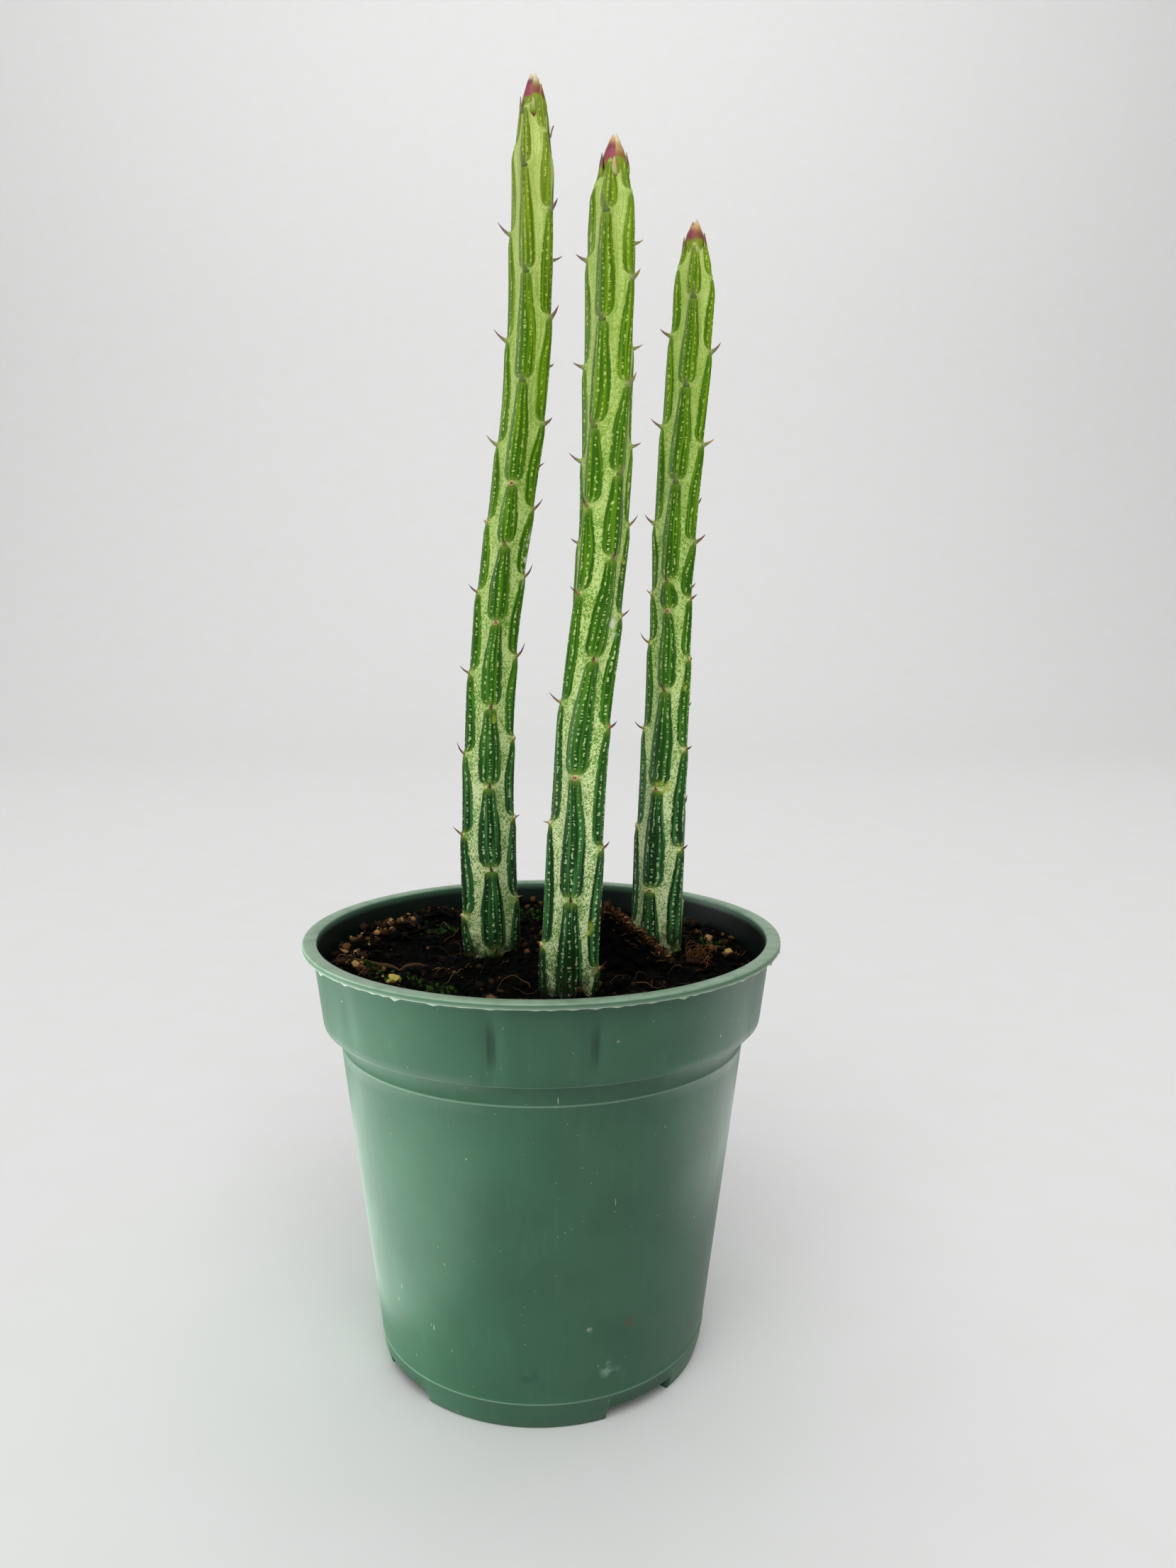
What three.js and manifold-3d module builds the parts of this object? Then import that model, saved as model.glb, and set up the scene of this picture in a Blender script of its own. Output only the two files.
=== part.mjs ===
// A potted pickle plant: three upright five-ribbed succulent stems with small awl-shaped leaves,
// rooted in dark peat in a thin green plastic nursery pot. Millimetres, +Z up.
// The origin is on the pot's axis, at the level of the surface that its feet stand on.
// Azimuths are in degrees from the front (-Y) towards the right (+X).
import * as THREE from "three";
import { mergeVertices } from "three/addons/utils/BufferGeometryUtils.js";
import Module from "manifold-3d";

const wasm = await Module();
wasm.setup();

// Pot: a thin moulded wall with a wide collar, a flat lip and four feet.
const POT_HEIGHT = 103.4;
const RIM_RADIUS = 57;
const LIP_OVERHANG = 2.3;
const LIP_THICKNESS = 1.3;
const LIP_EDGE_ROUND = 0.3;
const COLLAR_HEIGHT = 19.2;
const COLLAR_TAPER = 2.2;
const COLLAR_STEP = 3.3;
const BODY_TAPER = 9.4;
const WALL = 1;
const FLOOR_THICKNESS = 1.2;
const FOOT_HEIGHT = 3.4;
const FOOT_TAPER = 0.9;
const FOOT_WIDTH = 3;
const FOOT_COUNT = 4;
const NOTCH_WIDTH = 17.5;
const NOTCH_AZIMUTH = 34.5;
const DRAIN_COUNT = 8;
const DRAIN_RADIUS = 3.5;
const DRAIN_RING_SHARE = 0.68;
const CENTRE_DRAIN_RADIUS = 5;
const POT_SEGMENTS = 96;

// Soil: fills the pot to a little below the lip, with an uneven top that rises towards the back.
const SOIL_BELOW_RIM = 7;
const SOIL_RISE = 0.9;
const SOIL_EDGE_FALL = 0.5;
const SOIL_WAVE = 0.6;
const SOIL_LUMP = 0.35;
const SOIL_CLEARANCE = 0.3;
const SOIL_SEGMENTS = 64;
const SOIL_RINGS = 9;

// Plant: what every stem and leaf shares.
const RIB_COUNT = 5;
const SIDES_PER_RIB = 3;
const STEM_ROWS = 44;
const RIB_DEPTH = 0.35;
const LEAF_CUSHION = 0.6;
const CUSHION_FALL = 1.5;
const FULL_RELIEF_GIRTH = 4;
const BURIED_RELIEF = 0.3;
const CROWN_DEPTH = 26;
const SOCKET_CLEARANCE = 0.3;
const ROOTS_PER_STEM = 3;
const ROOT_AZIMUTH = 40;
const ROOT_START_SHARE = 0.75;
const ROOT_SIDES = 8;
const ROOT_RADIUS = 1.6;
const ROOT_TIP_RADIUS = 0.7;
const ROOT_LENGTH = 22;
const ROOT_SPREAD = 7;
const LEAF_GAP = 0.3;
const LEAF_LENGTH = 4.6;
const LEAF_BASE_RADIUS = 0.8;
const LEAF_RISE = 0.75;
const LEAF_FLATTENING = 0.25;
const LEAF_TIP_TILT = 0.9;
const LIVE_LEAVES = 15;
const DRY_LEAF_LENGTH = 2.2;
const DRY_LEAF_RADIUS = 0.6;
const LOWEST_LEAF = 1.5;
const LEAF_ANGLE = 144;
const BUD_TURNS = 2;
const JUST_BELOW = 0.1;

// Bark chip: a slab that stands in the soil between the middle and right stems.
const BARK = {
  share: [0.425, -0.123], width: 18.5, peak: 14.5, buried: 6, thickness: 4, corner: 2,
};
const BARK_LEAN = 8;
const BARK_TURN = 9;

// Loose pieces lie this far clear of the soil that carries them.
const LOOSE_GAP = 0.35;
// The clump of coarse fibre in front of the right stem, measured from that stem's foot.
const CLUMP = { azimuth: 35, distance: 15, radius: 3.4, flatten: 0.6 };
// Crumbs: share of the soil's radius, azimuth, radius and flattening.
const CRUMBS = [
  [0.86, -113, 1.5, 0.7],
  [0.92, -143, 1.3, 0.8],
  [0.76, -57, 1.7, 0.7],
  [0.6, -21, 1.2, 0.8],
  [0.9, 100, 1.4, 0.7],
];

// Each stem: where it is planted, as shares of the soil's radius; which way its leaves wind up it;
// its centreline, as height above the soil, shift to the right and shift to the back;
// its thickness, as height and mean radius; how its ribs turn, as height and azimuth of the front rib;
// and the heights of the leaves on the front rib.
const STEMS = [
  {
    name: "left",
    foot: [-0.246, 0.113],
    winding: 1,
    path: [[-CROWN_DEPTH, 1, 0], [0, 0, 0], [30, -0.6, 0.4], [60, 0.2, 0.6], [85, 2.4, 0.4],
      [110, 6, 0], [135, 9.3, -0.4], [165, 10.7, -0.4], [204, 11, 0.4]],
    girth: [[-CROWN_DEPTH, 4], [-8, 6.2], [4, 6.8], [18, 6.6], [40, 5.9], [75, 5.2], [140, 4.9],
      [168, 4.6], [184, 4], [196, 2.7], [204, 0.7]],
    turn: [[0, 12], [60, 3], [98, -3], [135, -12], [160, -16], [204, -36]],
    frontLeaves: [-18, 2, 22, 42, 61, 81, 99, 113, 136, 160, 183, 196, 204],
  },
  {
    name: "middle",
    foot: [0.108, -0.492],
    winding: -1,
    path: [[-CROWN_DEPTH, -1, 0.6], [0, 0, 0], [25, 1.2, -0.2], [50, 2.8, -0.4], [75, 4.8, -0.2],
      [100, 7, 0], [125, 8, 0.2], [150, 8.6, 0], [181, 9, 0]],
    girth: [[-CROWN_DEPTH, 4], [-8, 6], [4, 6.3], [20, 6], [45, 5.5], [80, 5.1], [140, 4.8],
      [158, 4.4], [170, 3.2], [181, 0.8]],
    turn: [[0, -74], [38, -82], [54, -90], [69, -76], [87, -48], [110, -43], [127, -30], [140, -24],
      [181, -20]],
    frontLeaves: [-16, 11, 38, 64, 87, 105, 121, 142, 163, 174, 181],
  },
  {
    name: "right",
    foot: [0.548, 0.17],
    winding: -1,
    path: [[-CROWN_DEPTH, -0.4, 0], [0, 0, 0], [30, 0.9, 0.3], [60, 2, 0.3], [85, 2.7, 0],
      [110, 3.7, -0.3], [135, 5.4, -0.3], [155, 6.7, 0], [176, 6.9, 0.3]],
    girth: [[-CROWN_DEPTH, 4], [-8, 6.1], [4, 6.4], [20, 6.1], [45, 5.5], [72, 4.9], [85, 4.6],
      [100, 4.9], [138, 4.8], [156, 4.2], [167, 2.9], [176, 0.7]],
    turn: [[0, -29], [40, -24], [64, -18], [80, -16], [90, -24], [113, -16], [136, -10], [176, -7]],
    frontLeaves: [-9, 16, 41, 65, 84, 91, 114, 136, 156, 169, 176],
  },
];

// ---- Shared helpers ----

const HALVINGS = 24;
const DRAIN_SIDES = 16;

const radians = THREE.MathUtils.degToRad;

function interpolate(pairs, at) {
  const last = pairs.length - 1;
  let i = 0;
  while (i < last - 1 && at > pairs[i + 1][0]) i += 1;
  const [x0, y0] = pairs[i];
  const [x1, y1] = pairs[i + 1];
  return y0 + ((y1 - y0) * (at - x0)) / (x1 - x0);
}

function outward(azimuth) {
  return new THREE.Vector3(Math.sin(radians(azimuth)), -Math.cos(radians(azimuth)), 0);
}

function solidOf(geometry) {
  const bare = geometry.clone();
  bare.deleteAttribute("normal");
  bare.deleteAttribute("uv");
  const merged = mergeVertices(bare, 1e-4);
  const vertProperties = new Float32Array(merged.attributes.position.array);
  const triVerts = new Uint32Array(merged.index.array);
  return new wasm.Manifold(new wasm.Mesh({ numProp: 3, vertProperties, triVerts }));
}

function geometryOf(solid) {
  const mesh = solid.getMesh();
  const geometry = new THREE.BufferGeometry();
  geometry.setAttribute("position", new THREE.BufferAttribute(mesh.vertProperties, 3));
  geometry.setIndex(new THREE.BufferAttribute(mesh.triVerts, 1));
  geometry.computeVertexNormals();
  return geometry;
}

function lathe(profile, segments) {
  const points = profile.map(([radius, height]) => new THREE.Vector2(radius, height));
  return new THREE.LatheGeometry(points, segments).rotateX(Math.PI / 2);
}

function moveVertices(geometry, place) {
  const position = geometry.attributes.position;
  const point = new THREE.Vector3();
  for (let i = 0; i < position.count; i += 1) {
    point.fromBufferAttribute(position, i);
    place(point);
    position.setXYZ(i, point.x, point.y, point.z);
  }
  return geometry;
}

// ---- Pot ----

const lipUnderside = POT_HEIGHT - LIP_THICKNESS;
const collarTopRadius = RIM_RADIUS - LIP_OVERHANG;
const collarBase = POT_HEIGHT - COLLAR_HEIGHT;
const collarBaseRadius = collarTopRadius - COLLAR_TAPER;
const bodyTopRadius = collarBaseRadius - COLLAR_STEP;
const bodyBaseRadius = bodyTopRadius - BODY_TAPER;
const footRadius = bodyBaseRadius - FOOT_TAPER;
const footInnerRadius = footRadius - FOOT_WIDTH;
const floorTop = FOOT_HEIGHT + FLOOR_THICKNESS;
const shelfHeight = collarBase + WALL;

// The inside of the pot, from the floor's edge up to the lip, as radius and height.
const potInside = [
  [bodyBaseRadius - WALL, floorTop],
  [bodyTopRadius - WALL, shelfHeight],
  [collarBaseRadius - WALL, shelfHeight],
  [collarTopRadius - WALL, POT_HEIGHT],
];

function potGeometry() {
  const outside = [
    [0, FOOT_HEIGHT],
    [footInnerRadius, FOOT_HEIGHT],
    [footInnerRadius, 0],
    [footRadius, 0],
    [bodyBaseRadius, FOOT_HEIGHT],
    [bodyTopRadius, collarBase],
    [collarBaseRadius, collarBase],
    [collarTopRadius, lipUnderside],
    [RIM_RADIUS - LIP_EDGE_ROUND, lipUnderside],
    [RIM_RADIUS, lipUnderside + LIP_EDGE_ROUND],
    [RIM_RADIUS, POT_HEIGHT - LIP_EDGE_ROUND],
    [RIM_RADIUS - LIP_EDGE_ROUND, POT_HEIGHT],
  ];
  const inside = [...potInside].reverse();
  let pot = solidOf(lathe([...outside, ...inside, [0, floorTop]], POT_SEGMENTS));
  const notchLength = 2 * FOOT_WIDTH + FOOT_TAPER;
  for (let i = 0; i < FOOT_COUNT; i += 1) {
    const azimuth = NOTCH_AZIMUTH + (360 / FOOT_COUNT) * i;
    const middle = outward(azimuth).multiplyScalar(footRadius);
    const notch = new THREE.BoxGeometry(NOTCH_WIDTH, notchLength, 2 * FOOT_HEIGHT);
    notch.rotateZ(radians(azimuth)).translate(middle.x, middle.y, 0);
    pot = pot.subtract(solidOf(notch));
  }
  const drains = [[0, 0, CENTRE_DRAIN_RADIUS]];
  for (let i = 0; i < DRAIN_COUNT; i += 1) {
    const azimuth = NOTCH_AZIMUTH + (360 / DRAIN_COUNT) * i;
    const place = outward(azimuth).multiplyScalar(DRAIN_RING_SHARE * footRadius);
    drains.push([place.x, place.y, DRAIN_RADIUS]);
  }
  for (const [x, y, radius] of drains) {
    const drain = new THREE.CylinderGeometry(radius, radius, 4 * FLOOR_THICKNESS, DRAIN_SIDES);
    drain.rotateX(Math.PI / 2).translate(x, y, floorTop);
    pot = pot.subtract(solidOf(drain));
  }
  return geometryOf(pot);
}

// ---- Soil ----

const soilLevel = POT_HEIGHT - SOIL_BELOW_RIM;
const soilInside = potInside.map(([radius, height]) => [height, radius - SOIL_CLEARANCE]);
const soilRadius = interpolate(soilInside.slice(2), soilLevel);

// The height of the soil's top: long waves for how it lies, short ones for its lumps.
function soilTop(x, y) {
  const u = x / soilRadius;
  const v = y / soilRadius;
  const slope = SOIL_RISE * v - SOIL_EDGE_FALL * u * u;
  const waves = SOIL_WAVE * (Math.sin(5 * u + 2 * v + 1) + Math.cos(7 * v - 4 * u));
  const lumps = SOIL_LUMP * Math.sin(17 * u) * Math.sin(15 * v + 2);
  return soilLevel + slope + waves + lumps;
}

function soilBlank() {
  const profile = [
    [0, floorTop + SOIL_CLEARANCE],
    [potInside[0][0] - SOIL_CLEARANCE, floorTop + SOIL_CLEARANCE],
    [potInside[1][0] - SOIL_CLEARANCE, shelfHeight + SOIL_CLEARANCE],
    [potInside[2][0] - SOIL_CLEARANCE, shelfHeight + SOIL_CLEARANCE],
  ];
  for (let ring = SOIL_RINGS; ring >= 0; ring -= 1) {
    profile.push([(soilRadius * ring) / SOIL_RINGS, soilLevel]);
  }
  return moveVertices(lathe(profile, SOIL_SEGMENTS), (p) => {
    if (p.z < soilLevel - SOIL_CLEARANCE) return;
    p.z = soilTop(p.x, p.y);
    const narrowing = interpolate(soilInside.slice(2), p.z) / soilRadius;
    p.x *= narrowing;
    p.y *= narrowing;
  });
}

// ---- Stems and leaves ----

function footOf(stem) {
  return new THREE.Vector3(stem.foot[0] * soilRadius, stem.foot[1] * soilRadius, soilLevel);
}

function centreline(stem) {
  const foot = footOf(stem);
  const points = stem.path.map(([up, right, back]) => new THREE.Vector3(right, back, up).add(foot));
  return new THREE.CatmullRomCurve3(points);
}

// The centreline's point at a height above the soil, found by halving.
function centreAt(curve, height) {
  let low = 0;
  let high = 1;
  for (let step = 0; step < HALVINGS; step += 1) {
    const middle = (low + high) / 2;
    if (curve.getPoint(middle).z < height + soilLevel) low = middle;
    else high = middle;
  }
  return curve.getPoint((low + high) / 2);
}

// Leaves are counted in turns of the front rib: leaf number n sits n / RIB_COUNT turns up the list.
function heightOfTurn(stem, turns) {
  return interpolate(stem.frontLeaves.map((height, i) => [i, height]), turns);
}

function turnOfHeight(stem, height) {
  return interpolate(stem.frontLeaves.map((leafHeight, i) => [leafHeight, i]), height);
}

// How far up its cushion a rib is at a height: 1 just below a leaf, falling to 0 above the next one.
// Leaves are LEAF_ANGLE apart, so the next rib to the right carries the leaf three numbers up the
// stem where they wind to the right, and the leaf two numbers up where they wind to the left.
function cushionAt(stem, rib, height) {
  const leafOfRib = ((stem.winding > 0 ? 3 : 2) * rib) % RIB_COUNT;
  const turns = turnOfHeight(stem, height) - leafOfRib / RIB_COUNT;
  const belowLeaf = Math.ceil(turns) - turns;
  return (1 - belowLeaf) ** CUSHION_FALL;
}

function stemRadius(stem, azimuth, height) {
  const fromFrontRib = azimuth - interpolate(stem.turn, height);
  const wave = Math.cos(radians(RIB_COUNT * fromFrontRib));
  const girth = interpolate(stem.girth, height);
  const turnedRib = Math.round((fromFrontRib * RIB_COUNT) / 360);
  const rib = ((turnedRib % RIB_COUNT) + RIB_COUNT) % RIB_COUNT;
  const cushion = LEAF_CUSHION * cushionAt(stem, rib, height) * Math.max(0, wave);
  const relief = Math.min(1, girth / FULL_RELIEF_GIRTH) * (height < 0 ? BURIED_RELIEF : 1);
  return girth + relief * (RIB_DEPTH * wave + cushion - LEAF_CUSHION / 4);
}

function stemBlank(stem, curve, grow) {
  const low = stem.girth[0][0];
  const high = stem.girth[stem.girth.length - 1][0];
  const sides = RIB_COUNT * SIDES_PER_RIB;
  const tube = new THREE.CylinderGeometry(1, 1, 1, sides, STEM_ROWS).rotateX(Math.PI / 2);
  return moveVertices(tube, (p) => {
    const height = low + (high - low) * (p.z + 0.5);
    const offCentre = Math.hypot(p.x, p.y);
    const around = THREE.MathUtils.radToDeg(Math.atan2(p.x, -p.y));
    const azimuth = around + interpolate(stem.turn, height);
    const radius = offCentre * (stemRadius(stem, azimuth, height) + grow);
    const centre = centreAt(curve, height);
    p.copy(centre).addScaledVector(outward(azimuth), radius);
    p.z += (p.z < soilLevel ? -1 : 1) * grow;
  });
}

// A root: a straight taper that leaves the crown downwards and a little to one side.
function rootBlank(stem, curve, index, grow) {
  const aside = outward((360 / ROOTS_PER_STEM) * index + ROOT_AZIMUTH);
  const start = centreAt(curve, -CROWN_DEPTH * ROOT_START_SHARE);
  const lean = Math.asin(ROOT_SPREAD / ROOT_LENGTH);
  const length = ROOT_LENGTH + grow;
  const tip = ROOT_TIP_RADIUS + grow;
  const taper = new THREE.CylinderGeometry(tip, ROOT_RADIUS + grow, length, ROOT_SIDES, 1);
  taper.translate(0, length / 2, 0).rotateX(-Math.PI / 2);
  const axis = new THREE.Vector3(-aside.y, aside.x, 0);
  taper.applyMatrix4(new THREE.Matrix4().makeRotationAxis(axis, -lean));
  return taper.translate(start.x, start.y, start.z);
}

function leafPlaces(stem) {
  const topTurn = stem.frontLeaves.length - 1 - BUD_TURNS;
  const places = [];
  for (let n = 0; n <= topTurn * RIB_COUNT; n += 1) {
    const height = heightOfTurn(stem, n / RIB_COUNT);
    if (height > LOWEST_LEAF) {
      const azimuth = stem.winding * LEAF_ANGLE * n + interpolate(stem.turn, height);
      places.push({ height, azimuth });
    }
  }
  return places;
}

// A leaf: a bent cone whose base lies flat against the stem and whose tip points out and up.
// The offset sets it off the stem's surface, or lets it into the stem where it is below zero.
function leafBlank(stem, curve, place, size) {
  const { height, azimuth } = place;
  const { length, radius, offset, sides, rows } = size;
  const up = new THREE.Vector3(0, 0, 1);
  const aside = outward(azimuth);
  const across = up.clone().cross(aside);
  const seat = stemRadius(stem, azimuth, height - JUST_BELOW) + offset;
  const base = centreAt(curve, height).addScaledVector(aside, seat);
  const cone = new THREE.ConeGeometry(1, 1, sides, rows).rotateX(Math.PI / 2);
  return moveVertices(cone, (p) => {
    const along = p.z + 0.5;
    const tilt = LEAF_TIP_TILT * along;
    const out = length * along * (1 - LEAF_FLATTENING * along) - radius * p.y * Math.sin(tilt);
    const rise = length * LEAF_RISE * along * along + radius * p.y * Math.cos(tilt);
    const side = radius * p.x;
    p.copy(base).addScaledVector(across, side).addScaledVector(aside, out).addScaledVector(up, rise);
  });
}

const liveLeaf = {
  length: LEAF_LENGTH, radius: LEAF_BASE_RADIUS, offset: LEAF_GAP, sides: 6, rows: 3,
};
const dryLeaf = {
  length: DRY_LEAF_LENGTH, radius: DRY_LEAF_RADIUS, offset: -DRY_LEAF_RADIUS, sides: 4, rows: 1,
};

// ---- Bark, clump and crumbs ----

function barkBlank(grow) {
  const half = BARK.width / 2;
  const outline = new THREE.Shape([
    new THREE.Vector2(-half, -BARK.buried),
    new THREE.Vector2(half - BARK.corner, -BARK.buried),
    new THREE.Vector2(half, 0),
    new THREE.Vector2(BARK.corner - half, BARK.peak),
    new THREE.Vector2(-half, BARK.peak - BARK.corner / 2),
  ]);
  const options = {
    depth: BARK.thickness,
    bevelEnabled: grow > 0,
    bevelThickness: grow,
    bevelSize: grow,
    bevelSegments: 1,
  };
  const slab = new THREE.ExtrudeGeometry(outline, options).translate(0, 0, -BARK.thickness / 2);
  slab.rotateX(Math.PI / 2 - radians(BARK_LEAN)).rotateZ(radians(BARK_TURN));
  return slab.translate(BARK.share[0] * soilRadius, BARK.share[1] * soilRadius, soilLevel);
}

function lumpMaterial(colour) {
  return new THREE.MeshStandardMaterial({ color: colour, roughness: 0.95, metalness: 0 });
}

// A rough pebble-like piece that lies just clear of the soil.
function looseGeometry(x, y, radius, flatten, turn) {
  const lump = new THREE.IcosahedronGeometry(radius, 0);
  lump.rotateZ(radians(turn)).scale(1, 1, flatten);
  const around = [0, 90, 180, 270].map((azimuth) => outward(azimuth).multiplyScalar(radius));
  const ground = Math.max(soilTop(x, y), ...around.map((p) => soilTop(x + p.x, y + p.y)));
  return lump.translate(x, y, ground + radius * flatten + LOOSE_GAP);
}

// ---- Assembly ----

const greenPlastic = new THREE.MeshStandardMaterial({ color: 0x40705a, roughness: 0.42, metalness: 0 });
const peat = new THREE.MeshStandardMaterial({ color: 0x1c1611, roughness: 0.98, metalness: 0 });
const stemGreen = new THREE.MeshStandardMaterial({ color: 0x5f8f3a, roughness: 0.45, metalness: 0 });
const leafGreen = new THREE.MeshStandardMaterial({ color: 0x7d8a63, roughness: 0.5, metalness: 0 });

const plant = new THREE.Group();

function addPiece(name, geometry, material) {
  const piece = new THREE.Mesh(geometry, material.clone());
  piece.name = name;
  plant.add(piece);
}

let soil = solidOf(soilBlank());

for (const stem of STEMS) {
  const curve = centreline(stem);
  let body = solidOf(stemBlank(stem, curve, 0));
  soil = soil.subtract(solidOf(stemBlank(stem, curve, SOCKET_CLEARANCE)));
  for (let i = 0; i < ROOTS_PER_STEM; i += 1) {
    body = body.add(solidOf(rootBlank(stem, curve, i, 0)));
    soil = soil.subtract(solidOf(rootBlank(stem, curve, i, SOCKET_CLEARANCE)));
  }
  const places = leafPlaces(stem);
  const firstLive = places.length - LIVE_LEAVES;
  for (const place of places.slice(0, firstLive)) {
    body = body.add(solidOf(leafBlank(stem, curve, place, dryLeaf)));
  }
  addPiece(`${stem.name}_stem`, geometryOf(body), stemGreen);
  places.slice(firstLive).forEach((place, i) => {
    const name = `${stem.name}_leaf_${String(i + 1).padStart(2, "0")}`;
    addPiece(name, leafBlank(stem, curve, place, liveLeaf), leafGreen);
  });
}

soil = soil.subtract(solidOf(barkBlank(SOCKET_CLEARANCE)));
addPiece("pot", potGeometry(), greenPlastic);
addPiece("soil", geometryOf(soil), peat);
addPiece("bark_chip", barkBlank(0), lumpMaterial(0x3a2417));

const rightFoot = footOf(STEMS[2]);
const clumpPlace = outward(CLUMP.azimuth).multiplyScalar(CLUMP.distance).add(rightFoot);
const clump = looseGeometry(clumpPlace.x, clumpPlace.y, CLUMP.radius, CLUMP.flatten, 20);
addPiece("fibre_clump", clump, lumpMaterial(0x5a3a1c));
CRUMBS.forEach(([share, azimuth, radius, flatten], i) => {
  const place = outward(azimuth).multiplyScalar(share * soilRadius);
  const crumb = looseGeometry(place.x, place.y, radius, flatten, 37 * i);
  addPiece(`soil_crumb_${i + 1}`, crumb, lumpMaterial(0x9a7a3c));
});

export default plant;
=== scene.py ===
# Looks for a potted pickle plant: three ribbed succulent stems with small awl-shaped leaves,
# in dark peat in a green nursery pot. Shapes are worked out in millimetres and kept in metres.
# Azimuths are in degrees, from the front (-Y) towards the right (+X).
import random
from math import atan2, copysign, cos, degrees, exp, hypot, pi, radians, sin, sqrt
from random import choice, gauss, uniform

import bmesh
import bpy
import numpy as np
from mathutils import Matrix, Vector, noise


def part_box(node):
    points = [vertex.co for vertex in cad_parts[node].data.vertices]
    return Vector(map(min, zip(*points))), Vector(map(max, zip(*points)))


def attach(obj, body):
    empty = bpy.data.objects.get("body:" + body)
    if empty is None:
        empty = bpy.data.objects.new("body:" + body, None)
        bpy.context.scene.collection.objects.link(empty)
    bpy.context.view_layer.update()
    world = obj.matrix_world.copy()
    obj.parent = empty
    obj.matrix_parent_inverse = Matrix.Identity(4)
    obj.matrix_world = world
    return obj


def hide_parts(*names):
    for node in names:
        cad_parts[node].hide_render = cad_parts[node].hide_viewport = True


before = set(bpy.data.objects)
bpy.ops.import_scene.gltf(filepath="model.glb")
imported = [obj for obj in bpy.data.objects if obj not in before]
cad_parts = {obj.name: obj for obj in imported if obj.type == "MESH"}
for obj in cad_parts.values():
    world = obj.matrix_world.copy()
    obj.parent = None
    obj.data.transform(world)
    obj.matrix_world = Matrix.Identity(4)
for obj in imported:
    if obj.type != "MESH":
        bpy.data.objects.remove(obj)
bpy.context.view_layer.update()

MM = 0.001
random.seed(7)

# ---- Sizes repeated from the part, in millimetres ----

POT_HEIGHT = 103.4
RIM_RADIUS = 57.0
LIP_OVERHANG = 2.3
LIP_THICKNESS = 1.3
COLLAR_HEIGHT = 19.2
COLLAR_TAPER = 2.2
COLLAR_STEP = 3.3
BODY_TAPER = 9.4
WALL = 1.0
FLOOR_THICKNESS = 1.2
FOOT_HEIGHT = 3.4
FOOT_TAPER = 0.9
FOOT_WIDTH = 3.0
FOOT_COUNT = 4
NOTCH_AZIMUTH = 34.5
NOTCH_SPAN = 27.0
DRAIN_COUNT = 8
DRAIN_RADIUS = 3.5
DRAIN_RING_SHARE = 0.68
CENTRE_DRAIN_RADIUS = 5.0
SOIL_BELOW_RIM = 7.0
SOIL_CLEARANCE = 0.3
CROWN_DEPTH = 26.0
RIB_COUNT = 5
RIB_DEPTH = 0.35
LEAF_CUSHION = 0.6
FULL_RELIEF_GIRTH = 4.0
LEAF_ANGLE = 144.0
LIVE_LEAVES = 15
LOWEST_LEAF = 1.5
BUD_TURNS = 2

LIP_UNDERSIDE = POT_HEIGHT - LIP_THICKNESS
COLLAR_TOP_RADIUS = RIM_RADIUS - LIP_OVERHANG
COLLAR_BASE = POT_HEIGHT - COLLAR_HEIGHT
COLLAR_BASE_RADIUS = COLLAR_TOP_RADIUS - COLLAR_TAPER
BODY_TOP_RADIUS = COLLAR_BASE_RADIUS - COLLAR_STEP
BODY_BASE_RADIUS = BODY_TOP_RADIUS - BODY_TAPER
FOOT_RADIUS = BODY_BASE_RADIUS - FOOT_TAPER
FLOOR_TOP = FOOT_HEIGHT + FLOOR_THICKNESS
SHELF = COLLAR_BASE + WALL
SOIL_LEVEL = POT_HEIGHT - SOIL_BELOW_RIM
INSIDE_HEIGHTS = (SHELF, POT_HEIGHT)
INSIDE_RADII = (COLLAR_BASE_RADIUS - WALL, COLLAR_TOP_RADIUS - WALL)
SOIL_RADIUS = float(np.interp(SOIL_LEVEL, INSIDE_HEIGHTS, INSIDE_RADII)) - SOIL_CLEARANCE

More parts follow.
